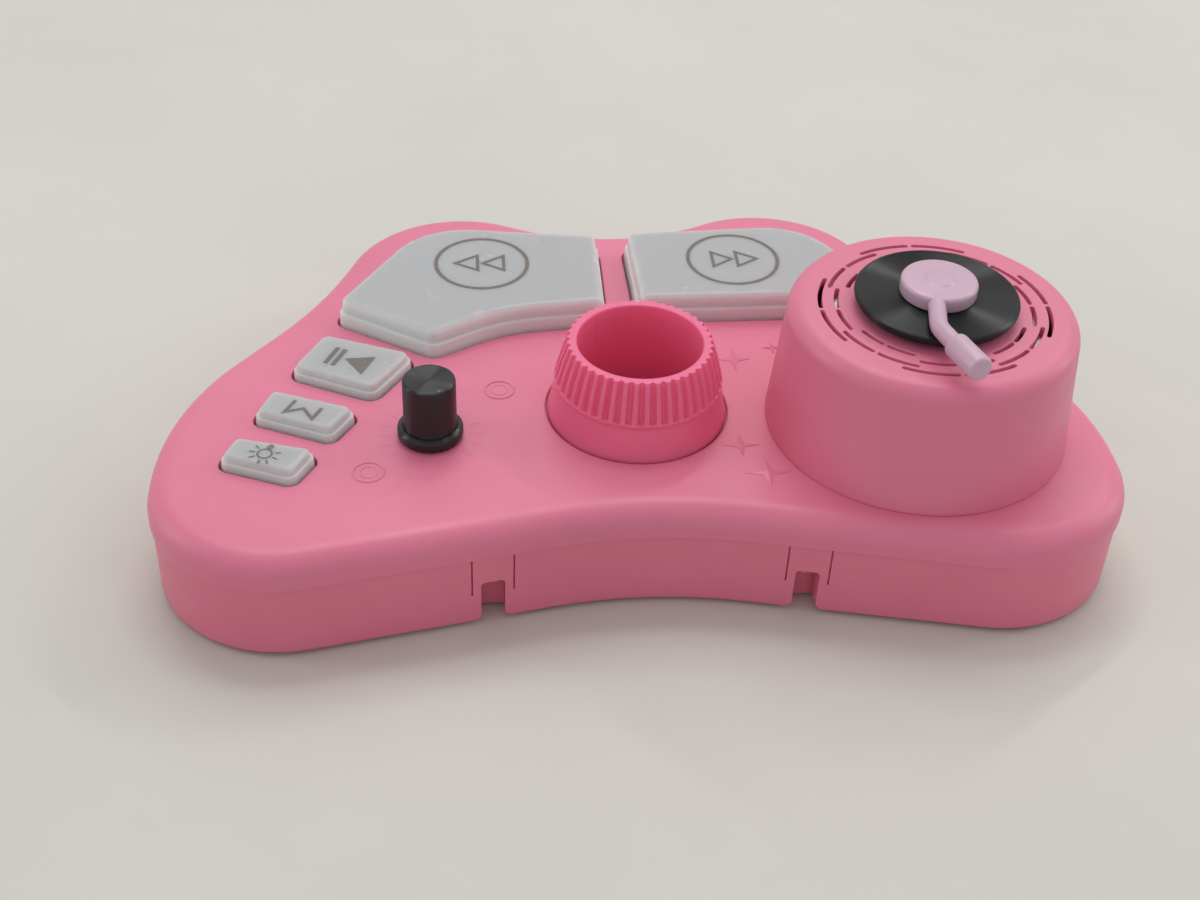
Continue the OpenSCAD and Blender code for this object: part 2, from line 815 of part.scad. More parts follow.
module speaker_surround() {
    color([0.1, 0.1, 0.1]) at(turret, speaker_top - 1.2) rotate_extrude($fn = 72)
        polygon(concat(
            [for (a = [0:30:180]) [(cone_r + rim_in_r) / 2 + (rim_in_r - cone_r) / 2 * cos(a), 0.9 * sin(a)]],
            [[cone_r, -0.2], [rim_in_r - touch, -0.2], [rim_in_r - touch, 0]]
        ));
}

module speaker_cone() {
    color([0.15, 0.15, 0.15]) at(turret, speaker_top - 1.2) rotate_extrude($fn = 72) polygon([
        [cone_low_r, -cone_depth], [cone_r - touch, -0.4],
        [cone_r - touch, 0], [cone_low_r, 0.6 - cone_depth],
        [voice_coil_r + 0.4, 0.6 - cone_depth], [voice_coil_r + 0.4, -cone_depth - 2.5],
        [voice_coil_r + 1, -cone_depth - 2.5], [voice_coil_r + 1, -cone_depth]
    ]);
}

module dust_cap() {
    color([0.12, 0.12, 0.12]) at(turret, speaker_top - 1.2 + 0.6 - cone_depth) rotate_extrude($fn = 72)
        polygon(concat(
            [for (a = [0:15:90]) [voice_coil_r * cos(a), 2 * sin(a)]],
            [[0, 1.4], [voice_coil_r - 1, 0]]
        ));
}

module speaker_screws() {
    color([0.6, 0.6, 0.62]) round_turret(speaker_top - rim_t - 1) {
        cylinder(r = speaker_head_r, h = 1);
        cylinder(r = board_screw_r, h = rim_t + 0.8);
    }
}

// Rods along a chain of points, with a ball at each bend
module chain(points, r, ball_r) {
    for (k = [0:len(points) - 2]) rod(points[k], points[k + 1], r);
    for (k = [1:len(points) - 2]) translate(points[k]) sphere(r = ball_r);
}

module rod(a, b, r) {
    v = b - a;
    translate(a) rotate([0, acos(v[2] / norm(v)), atan2(v[1], v[0])]) cylinder(r = r, h = norm(v));
}

// Flat two-core lead from the board, across, and up to the speaker's rim
module speaker_lead() {
    lead_w = 2.4;
    lead_t = 1;
    x = turret[0] - 9;
    y0 = turret[1] + 21.2;
    y1 = pad_board_y0 + 3;
    color([0.75, 0.1, 0.1]) translate([x - lead_w / 2, 0, board_top]) {
        translate([0, y1, 0]) cube([lead_w, lead_t, 2]);
        translate([0, y0, 1]) cube([lead_w, y1 - y0 + lead_t, lead_t]);
        translate([0, y0, 1]) cube([lead_w, lead_t, speaker_top - rim_t - board_top - 1]);
    }
}

// ---------------------------------------------------------------- disc and arm

module record_disc() {
    color([0.06, 0.06, 0.07]) at(turret) difference() {
        union() {
            translate([0, 0, disc_z]) rotate_extrude($fn = 96) polygon([
                [0, 0], [disc_r - 0.8, 0], [disc_r, 0.8], [disc_r, disc_t - 0.5],
                [disc_r - 0.5, disc_t], [0, disc_t]
            ]);
            translate([0, 0, tube_end]) cylinder(r = tube_r, h = disc_z - tube_end + 0.1);
        }
        translate([0, 0, tube_end - 1]) cylinder(r = pin_r + fit, h = 30);
        translate([0, 0, disc_clip_z]) tube(tube_r + 1, tube_groove_r, clip_t);
    }
}

module disc_clip() {
    color([0.7, 0.7, 0.72]) at(turret, disc_clip_z + 0.05) difference() {
        tube(tube_r + 2, tube_groove_r + 0.05, clip_t - 0.1);
        translate([0, -1.2, -1]) cube([20, 2.4, 4]);
    }
}

module tonearm() {
    arm_z = hub_z + arm_r + 0.2;
    path = [for (q = [[-0.9, -5], [-2.8, -14.4], [-1, -20.1], [2.4, -31.2]]) [q[0], q[1], arm_z]];
    head_start = path[2] + 0.12 * (path[3] - path[2]);
    color([0.84, 0.69, 0.78]) at(turret) difference() {
        union() {
            translate([0, 0, hub_z]) rotate_extrude($fn = 72) polygon([
                [0, 0], [hub_r - 0.4, 0], [hub_r, 0.5], [hub_r, hub_t - 1.2], [hub_r - 0.4, hub_t - 0.4],
                [hub_r - 1.2, hub_t - 0.2], [3.4, hub_t - 0.2], [3.2, hub_t], [0, hub_t]
            ]);
            chain([for (k = [0:2]) path[k]], arm_r, arm_r);
            rod(path[2], head_start, arm_r);
            translate(path[2]) sphere(r = arm_r);
            rod(head_start, path[3], arm_head_r);
            translate([0, 0, pin_end]) cylinder(r = pin_r, h = hub_z - pin_end + 0.1);
        }
        translate([0, 0, pin_end - 1]) cylinder(r = arm_screw_r + touch, h = 6.5);
    }
}

module arm_screw() {
    color([0.7, 0.7, 0.72]) at(turret, pin_end - 1.4) {
        crossed_head(3.4, 1.4);
        cylinder(r = arm_screw_r, h = 1.4 + 5);
    }
}

// ---------------------------------------------------------------- power

module battery_cells() {
    color([0.25, 0.45, 0.3]) for (k = [0:cells - 1])
        translate([0, cell_y(k), cell_z]) mirror([k % 2, 0, 0])
            translate([box_l / 2 - contact_t - cell_l, 0, 0]) rotate([0, 90, 0]) {
                cylinder(r = cell_r, h = cell_l - 1.2);
                cylinder(r = 2.7, h = cell_l);
            }
}

module contact_springs() {
    wire_r = 0.7;
    color([0.8, 0.8, 0.8]) for (k = [0:cells - 1])
        translate([0, cell_y(k), cell_z]) mirror([k % 2, 0, 0])
            translate([contact_t - box_l / 2, 0, 0]) rotate([0, 90, 0]) rotate_extrude()
                for (j = [0:3]) translate([3.4 - 0.2 * j, wire_r + j * (spring_l - 2 * wire_r) / 3])
                    circle(r = wire_r, $fn = 24);
}

module contact_plates() {
    color([0.8, 0.8, 0.8]) for (s = [-1, 1], k = [0:cells - 1])
        translate([s * (box_l - contact_t) / 2, cell_y(k), cell_z])
            cube([contact_t, 10, 12.4], center = true);
}

module battery_lead() {
    color([0.75, 0.1, 0.1]) for (s = [-1, 1])
        translate([s * (box_l / 2 - 1.3), battery_lead_y, cell_z + 4])
            cylinder(r = lead_r, h = board_z - cell_z - 4);
}

module battery_door() {
    door_z1 = case_z + door_t;
    color([0.84, 0.47, 0.57]) difference() {
        union() {
            translate([-door_l / 2, door_y0, case_z]) cube([door_l, door_y1 - door_y0 - gap, door_t]);
            for (s = [-1, 1]) translate([s * door_l / 4 - tongue_w / 2, 0, 0]) {
                translate([0, door_y1 - gap - 1.1, door_z1 - 0.5])
                    cube([tongue_w, 1.1, floor_z + gap + tongue_t - door_z1 + 0.5]);
                translate([0, door_y1 - gap - 1.1, floor_z + gap])
                    cube([tongue_w, 1.1 + gap + tongue_l, tongue_t]);
            }
        }
        at(door_screw_at, case_z - 1) cylinder(r = door_head_r + 0.2, h = 1 + door_head_t + 0.1);
        at(door_screw_at, case_z - 1) cylinder(r = door_screw_r + 0.15, h = 10);
    }
}

module battery_door_screw() {
    color([0.6, 0.6, 0.62]) at(door_screw_at, case_z + 0.1) {
        crossed_head(door_head_r, door_head_t);
        cylinder(r = door_screw_r, h = door_t + door_screw_l);
    }
}

module switch_body() {
    color([0.3, 0.3, 0.32]) difference() {
        translate([-switch_room[0] / 2 - 1.5, switch_y - switch_body_d, switch_z - 3])
            cube([switch_room[0] + 3, switch_body_d, 6]);
        translate([-switch_room[0] / 2, switch_y - switch_room[1], switch_z - switch_room[2] / 2])
            cube([switch_room[0], 5, switch_room[2]]);
    }
}

module switch_slider() {
    color([0.15, 0.15, 0.16]) difference() {
        translate([
            -switch_travel / 2 - slider_w / 2, switch_y - switch_room[1] + gap / 2, switch_z - slider_h / 2
        ]) cube([slider_w, switch_room[1] - gap / 2 + wall + 0.9, slider_h]);
        for (k = [-1:1]) translate([-switch_travel / 2 + k - 0.25, rear_wall_y + 0.5, switch_z - 4])
            cube([0.5, 2, 8]);
    }
}

upper_shell();
speaker_turret();
lower_shell();
case_screws();
rubber_feet();
left_pad();
right_pad();
play_button();
mode_button();
light_button();
left_pad_domes();
right_pad_domes();
play_dome();
mode_dome();
light_dome();
pad_board();
button_board();
board_screws();
pad_lamps();
sound_chip();
knob_cap();
pot_shaft();
pot_body();
socket_ring();
ring_clip();
socket_cup();
speaker_basket();
speaker_magnet();
speaker_cone();
speaker_surround();
dust_cap();
speaker_screws();
speaker_lead();
record_disc();
disc_clip();
tonearm();
arm_screw();
battery_cells();
contact_springs();
contact_plates();
battery_lead();
battery_door();
battery_door_screw();
switch_body();
switch_slider();
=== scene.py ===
import json
import math

import bmesh
import bpy
from mathutils import Matrix, Vector


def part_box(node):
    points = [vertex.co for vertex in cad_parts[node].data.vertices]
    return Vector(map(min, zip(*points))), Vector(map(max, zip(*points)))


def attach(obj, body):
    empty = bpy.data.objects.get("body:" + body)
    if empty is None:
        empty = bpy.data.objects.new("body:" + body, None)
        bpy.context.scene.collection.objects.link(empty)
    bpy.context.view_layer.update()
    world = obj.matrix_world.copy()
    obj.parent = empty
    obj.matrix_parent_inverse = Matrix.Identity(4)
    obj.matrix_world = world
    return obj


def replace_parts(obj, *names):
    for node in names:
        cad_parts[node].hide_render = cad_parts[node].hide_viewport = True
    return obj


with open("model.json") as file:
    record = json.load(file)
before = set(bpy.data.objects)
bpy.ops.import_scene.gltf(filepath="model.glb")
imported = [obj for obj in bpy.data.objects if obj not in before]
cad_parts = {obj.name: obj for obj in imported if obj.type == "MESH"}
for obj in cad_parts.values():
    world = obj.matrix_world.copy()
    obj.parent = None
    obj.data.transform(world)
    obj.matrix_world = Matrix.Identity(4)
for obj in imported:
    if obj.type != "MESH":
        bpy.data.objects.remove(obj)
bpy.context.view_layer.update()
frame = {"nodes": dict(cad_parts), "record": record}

MM = 0.001
DECK = 28.0          # top face of the body
PARTING = 20.0       # joint line between the shells
EDGE = 5.5           # radius of the rounded top edge
WALL = 2.2
STEP = 0.5           # the upper shell stands proud of the lower one by this
CEILING = DECK - WALL
KEY_GAP = 0.5        # running gap round the pads and buttons
PAD_RISE = 7.0       # pads above the top face
BUTTON_RISE = 3.5    # small buttons above it
RING = (0.0, -18.7)
RING_HOLE = 21.6
KNOB = (-48.8, -27.8)
KNOB_HOLE = 3.8
TURRET = (65.7, -26.0)
TURRET_HOLE = 34.5
TURRET_TOP = 60.0
DISC_Z = 61.2        # underside of the record disc
TUBE_FOOT = 52.0     # foot of the tube under the disc
HUB_Z = 64.0         # underside of the tone arm's hub
ARM_Z = 65.7         # middle line of the tone arm

# ------------------------------------------------------------------ outlines

# corners of each key as (x, y, corner radius), counter-clockwise
LEFT_PAD = [
    (-72.5, 18.5, 3), (-47.8, 2.6, 4), (-30.3, 12.9, 40), (-4.2, 15.8, 2.5), (-3.8, 48.6, 2.5),
    (-50.8, 54.8, 22)
]
RIGHT_PAD = [(3.6, 16.8, 2.5), (72, 17.5, 4), (51.5, 53, 20), (3, 49.8, 2.5)]
PLAY = [(-82.7, -4.5, 3), (-62, -14.6, 3), (-51.8, 1.1, 3), (-74.9, 10.2, 3)]
MODE = [(-90.1, -22.1, 2.5), (-71.3, -30.4, 2.5), (-65.2, -20.4, 2.5), (-86, -12.3, 2.5)]
LIGHT = [(-96.7, -38.3, 2.5), (-79.3, -45.4, 2.5), (-73.6, -35.5, 2.5), (-93, -30, 2.5)]
KEYS = [LEFT_PAD, RIGHT_PAD, PLAY, MODE, LIGHT]


def xy(p):
    return Vector((p[0], p[1]))


def left_of(v):
    return Vector((-v.y, v.x))


def edge_dir(p, i):
    n = len(p)
    return (xy(p[(i + 1) % n]) - xy(p[i % n])).normalized()


def turn_at(p, i):
    u, v = edge_dir(p, i - 1), edge_dir(p, i)
    return math.atan2(u.x * v.y - u.y * v.x, u.dot(v))


def moved_in(p, d):
    """Corner points moved inward by d, each radius kept so that its arc stays parallel."""
    out = []
    for i, q in enumerate(p):
        n, m = left_of(edge_dir(p, i - 1)), left_of(edge_dir(p, i))
        c = xy(q) + (n + m) * (d / (1 + n.dot(m)))
        r = q[2] - d if turn_at(p, i) > 0 else q[2] + d
        out.append((c.x, c.y, max(r, 0.2)))
    return out


def edge_share(p, i):
    n = len(p)
    tangents = sum(p[k % n][2] * math.tan(abs(turn_at(p, k)) / 2) for k in (i, i + 1))
    return min(1.0, 0.97 * (xy(p[(i + 1) % n]) - xy(p[i % n])).length / tangents)


def rounded(p, d=0.0, step=3.0):
    """Closed outline with rounded corners, moved inward by d; the same number of points at every d."""
    p = moved_in(p, d)
    out = []
    for i in range(len(p)):
        t = turn_at(p, i)
        s = 1 if t > 0 else -1
        u = edge_dir(p, i - 1)
        r = p[i][2] * min(edge_share(p, i - 1), edge_share(p, i))
        start = xy(p[i]) - u * (r * math.tan(abs(t) / 2))
        centre = start + left_of(u) * (s * r)
        a = math.atan2(start.y - centre.y, start.x - centre.x)
        n = max(1, math.ceil(abs(math.degrees(t)) / step))
        out += [
            (centre.x + r * math.cos(a + t * k / n), centre.y + r * math.sin(a + t * k / n))
            for k in range(n + 1)
        ]
    return out


def body_outline():
    side = [(112, -77.6, 30), (112, -14, 70), (77.8, 29.9, 120), (56.7, 83.8, 31)]
    points = [(0, -54.6, 110)] + side + [(0, 54.4, 54)] + [(-x, y, r) for x, y, r in reversed(side)]
    ys = [q[1] for q in rounded(points, 0, 9)]
    middle = (max(ys) + min(ys)) / 2
    return [(x, y - middle, r) for x, y, r in points]


BODY = body_outline()


def circle(centre, r, n=96, start=0.0):
    angles = [start + 2 * math.pi * k / n for k in range(n)]
    return [(centre[0] + r * math.cos(a), centre[1] + r * math.sin(a)) for a in angles]


def arc_levels(d0, z0, r, a0, a1, steps, up=1):
    """(inset, height) pairs along a quarter round centred at inset d0, height z0."""
    out = []
    for k in range(steps + 1):
        a = math.radians(a0 + (a1 - a0) * k / steps)
        out.append((d0 - r * math.cos(a), z0 + up * r * math.sin(a)))
    return out


# ------------------------------------------------------------------ meshes


def at(points, z):
    """Plane points lifted to one height."""
    return [(p[0], p[1], z) for p in points]


class Shape:
    """A mesh under construction, in millimetres."""

    def __init__(self):
        self.bm = bmesh.new()

    def points(self, points):
        return [self.bm.verts.new([c * MM for c in p]) for p in points]

    def edges_along(self, row, closed=True):
        """The edges through a row of vertices, made where they are missing."""
        ends = row[1:] + row[:1] if closed else row[1:]
        return [self.bm.edges.get(pair) or self.bm.edges.new(pair) for pair in zip(row, ends)]

    def drawn(self, row, points, closed=True):
        """A row of vertices extruded to new points, one for each of them."""
        out = bmesh.ops.extrude_edge_only(self.bm, edges=self.edges_along(row, closed))["geom"]
        made = {g for g in out if isinstance(g, bmesh.types.BMVert)}
        new = [next(e.other_vert(v) for e in v.link_edges if e.other_vert(v) in made) for v in row]
        for v, p in zip(new, points):
            v.co = [c * MM for c in p]
        return new

    def bridge(self, a, b):
        """A row extruded onto another row of as many vertices; done() welds the two."""
        for v, w in zip(self.drawn(a, [(0, 0, 0)] * len(a)), b):
            v.co = w.co

    def stack(self, levels):
        """Walls through closed levels of points, each extruded from the one before."""
        rows = [self.points(levels[0])]
        for points in levels[1:]:
            rows.append(self.drawn(rows[-1], points))
        return rows

    def fill(self, loops, down=False):
        """A flat face between loops of vertices, the first of them outside."""
        edges = [e for loop in loops for e in self.edges_along(loop)]
        bmesh.ops.triangle_fill(self.bm, edges=edges, use_beauty=True, normal=(0, 0, -1 if down else 1))

    def pole(self, row, point):
        """A row extruded to a single point."""
        self.drawn(row, [point] * len(row))

    def lathe(self, centre, profile, n=96):
        """A profile of (radius, height) spun about a vertical line; returns its two end rings."""
        axis = Vector((centre[0] * MM, centre[1] * MM, 0))
        before = len(self.bm.verts)
        verts = self.points([(centre[0] + r, centre[1], z) for r, z in profile])
        geom = verts + self.edges_along(verts, closed=False)
        bmesh.ops.spin(
            self.bm, geom=geom, cent=axis, axis=(0, 0, 1), angle=2 * math.pi, steps=n, use_merge=True)
        spun = list(self.bm.verts)[before:]

        def end(r, z):
            near = [
                v for v in spun
                if abs(v.co.z - z * MM) < 1e-6 and abs((v.co.xy - axis.xy).length - r * MM) < 5e-6
            ]
            return sorted(near, key=lambda v: math.atan2(v.co.y - axis.y, v.co.x - axis.x))

        return end(*profile[0]), end(*profile[-1])

    def tube(self, path, radii, n=24):
        """A round tube along points, with a radius at each, closed at both ends."""
        levels = []
        across = None
        for i, p in enumerate(path):
            a, b = Vector(path[max(i - 1, 0)]), Vector(path[min(i + 1, len(path) - 1)])
            along = (b - a).normalized()
            if across is None:
                across = along.orthogonal().normalized()
            across = (across - along * across.dot(along)).normalized()
            other = along.cross(across)
            levels.append([
                Vector(p) + (across * math.cos(t) + other * math.sin(t)) * radii[i]
                for t in (2 * math.pi * k / n for k in range(n))
            ])
        rows = self.stack(levels)
        self.pole(rows[0], path[0])
        self.pole(rows[-1], path[-1])

    def prism(self, points, z0, z1, bevel=0.0):
        """A flat piece with a small sloped edge round its top."""
        middle = Vector((sum(p[0] for p in points), sum(p[1] for p in points))) / len(points)
        shrunk = []
        for p in points:
            v = xy(p) - middle
            shrunk.append(middle + v * max(0.0, 1 - bevel / max(v.length, 1e-6)))
        low, _, top = self.stack([at(points, z0), at(points, z1 - bevel), at(shrunk, z1)])
        self.fill([top])
        self.fill([low], down=True)

    def done(self, name, body, material, slot, sharp=38.0):
        bmesh.ops.remove_doubles(self.bm, verts=self.bm.verts, dist=2e-7)
        bmesh.ops.dissolve_degenerate(self.bm, edges=self.bm.edges, dist=1e-8)
        bmesh.ops.recalc_face_normals(self.bm, faces=self.bm.faces)
        mesh = bpy.data.meshes.new(name)
        self.bm.to_mesh(mesh)
        self.bm.free()
        mesh.shade_smooth()
        mesh.set_sharp_from_angle(angle=math.radians(sharp))
        mesh.materials.append(material)
        obj = bpy.data.objects.new(name, mesh)
        bpy.context.scene.collection.objects.link(obj)
        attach(obj, body)
        return obj


# ------------------------------------------------------------------ upper shell


def hole(outline, depth_levels, r=0.3):
    """An outline and the (grow, height) levels of a hole in the top face, from its margin down."""
    levels = [(r + 0.5, DECK)]
    quarter = [math.radians(k) for k in (0, 30, 60, 90)]
    levels += [(r - r * math.sin(a), DECK - r + r * math.cos(a)) for a in quarter]
    return outline, levels + depth_levels


# screw posts of the case
POSTS = [(103, -40), (57, 56.5), (-57, 56.5), (-102, -33), (-70, -55), (20, -50.5), (-20, -50.5)]


def upper_shell(material):
    s = Shape()
    outside = [(0.25, PARTING), (0, PARTING + 0.25), (0, PARTING + 1.4)]
    outside += arc_levels(EDGE, DECK - EDGE, EDGE, 0, 90, 10) + [(EDGE + 0.7, DECK)]
    inside = [(WALL + 2, CEILING), (WALL + 2, DECK - EDGE), (WALL, DECK - EDGE), (WALL, PARTING)]
    outer = s.stack([at(rounded(BODY, d), z) for d, z in outside])
    inner = s.stack([at(rounded(BODY, d), z) for d, z in inside])
    s.bridge(inner[-1], outer[0])
    holes = [hole(lambda g, k=k: rounded(k, -KEY_GAP - g), [(0, CEILING)]) for k in KEYS]
    holes.append(hole(
        lambda g: circle(RING, RING_HOLE + g, 120),
        [(0, DECK - 1.2), (-4.54, DECK - 1.2), (-4.54, CEILING - 1), (2.2, CEILING - 1), (2.2, CEILING)],
        0.4,
    ))
    holes.append(hole(lambda g: circle(TURRET, TURRET_HOLE + g, 120), [(0, CEILING)], 0.1))
    holes.append(hole(lambda g: circle(KNOB, KNOB_HOLE + g, 40), [(0, CEILING)], 0.1))
    tops, bottoms = [outer[-1]], [inner[0]]
    for outline, levels in holes:
        rings = s.stack([at(outline(g), z) for g, z in levels])
        tops.append(rings[0])
        bottoms.append(rings[-1])
    s.fill(tops)
    s.fill(bottoms, down=True)
    for p in POSTS:
        s.lathe(p, [
            (1.33, PARTING), (4.6, PARTING), (4.6, CEILING + 0.2), (1.33, CEILING + 0.2), (1.33, PARTING)
        ], 32)
    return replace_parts(s.done("upper_shell_look", "case", material, "pink_top"), "upper_shell")


def star_points(centre, half_w, half_h, waist=0.2):
    """Outline of a four-pointed star."""
    out = []
    for k in range(4):
        a = k * math.pi / 2
        tip = (centre[0] + half_w * math.cos(a), centre[1] + half_h * math.sin(a))
        b = a + math.pi / 4
        dent = waist * math.sqrt(2)
        inner = (centre[0] + half_w * dent * math.cos(b), centre[1] + half_h * dent * math.sin(b))
        out += [tip, inner]
    return out


def raised_marks(material):
    """Stars, double rings and the knob's ticks, moulded slightly proud of the top face."""
    s = Shape()
    low = DECK - 0.05
    for centre, w, h in (
        ((26.1, -0.3), 4, 4.8), ((22.9, -34.4), 4.2, 4), ((27.6, -44.5), 5.5, 5.1), ((36.4, 4.3), 2.7, 2.7)
    ):
        points = star_points(centre, w, h)
        rings = s.stack([at(points, low), at(points, DECK + 0.1)])
        s.pole(rings[-1], (*centre, DECK + 0.5))
        s.fill([rings[0]], down=True)
    for centre in ((-62.8, -41), (-32.3, -11)):
        for a, b, high in ((3.75, 3.15, 0.22), (2.2, 1.7, 0.12)):
            profile = [
                (b, low), (a, low), (a, DECK + 0.05), (a - 0.14, DECK + high), (b + 0.14, DECK + high),
                (b, DECK + 0.05)
            ]
            s.lathe(centre, profile + [(b, low)], 56)
    for k in range(18):
        t = Matrix.Rotation(math.radians(20 * k), 2)
        bar = ((9.4, -0.12), (12.4, -0.12), (12.4, 0.12), (9.4, 0.12))
        points = [xy(KNOB) + t @ Vector(q) for q in bar]
        s.prism([(p.x, p.y) for p in points], low, DECK + 0.035, 0.02)
    return s.done("raised_marks", "case", material, "pink_top", 20)


# ------------------------------------------------------------------ turret


def slot_points(r, middle, half, width, grow):
    """A curved slot with round ends, about the turret's axis."""
    w = width / 2 + grow
    half -= math.degrees(0.5 / r)
    steps = max(4, int(half))
    out = []
    for k in range(steps + 1):
        a = math.radians(middle - half + 2 * half * k / steps)
        out.append((TURRET[0] + (r + w) * math.cos(a), TURRET[1] + (r + w) * math.sin(a)))
    for side, a0 in ((1, middle + half), (-1, middle - half)):
        a = math.radians(a0)
        cx, cy = TURRET[0] + r * math.cos(a), TURRET[1] + r * math.sin(a)
        for k in range(1, 5):
            b = a + side * math.radians(36 * k) if side > 0 else a + math.pi + math.radians(36 * k)
            out.append((cx + w * math.cos(b), cy + w * math.sin(b)))
        if side > 0:
            for k in range(steps, -1, -1):
                c = math.radians(middle - half + 2 * half * k / steps)
                out.append((TURRET[0] + (r - w) * math.cos(c), TURRET[1] + (r - w) * math.sin(c)))
    return out


def grille_slots():
    """Radius, middle angle and half length in degrees of each slot, with a bridge in mid slot."""
    for r, start, half in ((26, 0, 29), (24.2, 45, 24), (22.3, 0, 22), (20.3, 45, 20)):
        for quarter in range(4):
            for side in (-1, 1):
                yield r, start + 90 * quarter + side * (half / 2 + 0.4), half / 2 - 0.4


def turret(material):
    """A slightly tapered drum with a slotted top and a low boss in its middle."""
    s = Shape()
    base, top, z0, z1 = 35.5, 33.2, DECK, TURRET_TOP
    profile = [(34.42, z0), (35.3, z0), (base, z0 + 0.25)]
    profile += [(base + (top - base) * t, z0 + (z1 - 4 - z0) * t) for t in (0.08, 0.3, 0.6, 0.9)]
    profile += [(top - d, z) for d, z in arc_levels(4, z1 - 4, 4, 0, 90, 9)]
    profile += [(28.4, z1)]
    outer = s.lathe(TURRET, profile, 144)
    inside = [(30.2, z1 - 2), (30.6, z1 - 4), (33.3, z0), (33.3, CEILING), (34.42, CEILING), (34.42, z0)]
    inner = s.lathe(TURRET, inside, 144)
    boss = s.lathe(TURRET, [
        (6.6, z1), (6, z1), (6, z1 + 0.7), (5.8, z1 + 0.9), (4.06, z1 + 0.9), (4.06, z1 - 2)
    ], 64)
    tops, bottoms = [outer[-1], boss[0]], [inner[0], boss[-1]]
    for r, middle, half in grille_slots():
        rings = s.stack([
            at(slot_points(r, middle, half, 1.0, g), z)
            for g, z in ((0.22, z1), (0.12, z1), (0.04, z1 - 0.05), (0, z1 - 0.16), (0, z1 - 2))
        ])
        tops.append(rings[0])
        bottoms.append(rings[-1])
    s.fill(tops)
    s.fill(bottoms, down=True)
    for a in (45, 135, 225, 315):
        c = (TURRET[0] + 27.3 * math.cos(math.radians(a)), TURRET[1] + 27.3 * math.sin(math.radians(a)))
        s.lathe(c, [(1.08, z1 - 3.4), (2, z1 - 3.4), (2, z1 - 1.9), (1.08, z1 - 1.9), (1.08, z1 - 3.4)], 24)
    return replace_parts(s.done("turret_look", "case", material, "pink_top"), "speaker_turret")


# ------------------------------------------------------------------ lower shell

BASE = 0.8           # underside of the case
FLOOR = 3.0
CLIP_X = 35.5        # clip slots in the front wall, left and right of the middle
NOTCH = 2.7          # half width of the notch of a clip slot
ARCH = 4.9           # half width of the shallow arch round the notch
FEET = [(92, -46), (52, -57), (46, 51), (-92, -46), (-52, -57), (-46, 51)]


def wall_columns():
    """Places along the outline as (index, offset from a clip slot or None, in the switch opening)."""
    ring = rounded(BODY, STEP)
    n = len(ring)

    def where(x, front):
        for i in range(n):
            a, b = ring[i], ring[(i + 1) % n]
            on_side = (a[1] < -40) == front and (front or a[1] > 40)
            if on_side and (a[0] - x) * (b[0] - x) <= 0 and a[0] != b[0]:
                return i + (x - a[0]) / (b[0] - a[0])
        raise ValueError(x)

    w = NOTCH
    inside = [w, w - 0.134, w - 0.5, w - 1, 1, 0, -1, 1 - w, 0.5 - w, 0.134 - w, -w]
    outside = [5.6, 5.3, ARCH, 4.88, 4.52, 4.5, 4.1, 3.6, 3.25]
    offsets = outside + inside + [-d for d in outside]
    columns = []
    for c in (-CLIP_X, CLIP_X):
        columns += [(where(c + d, True), d, False) for d in offsets]
    columns += [(where(x, False), None, abs(x) < 4.4) for x in (-4.42, -4.38, 4.38, 4.42)]
    for i, p in enumerate(ring):
        if p[1] < -40 and min(abs(p[0] - CLIP_X), abs(p[0] + CLIP_X)) < 6:
            continue
        if p[1] > 40 and 4.2 < abs(p[0]) < 4.6:
            continue
        columns.append((float(i), None, p[1] > 40 and abs(p[0]) < 4.4))
    return sorted(columns, key=lambda c: c[0])


def clip_pocket(s, side, front, bottom_loop):
    """Walls of a clip slot back to a flat plate, and the rounded stop behind the slot's top."""
    back = s.drawn(front, [(v.co.x / MM, -56, v.co.z / MM) for v in front], closed=False)
    bmesh.ops.triangle_fill(s.bm, edges=s.edges_along(back), use_beauty=True, normal=(0, -1, 0))
    i = bottom_loop.index(front[0])
    bottom_loop[i + 1:i + 1] = [back[0], back[-1]]
    s.lathe((side, -57.3), [(0, 9.2), (1.1, 9.35), (1.7, 9.9), (1.8, 10.8), (1.8, 14), (0, 14)], 24)


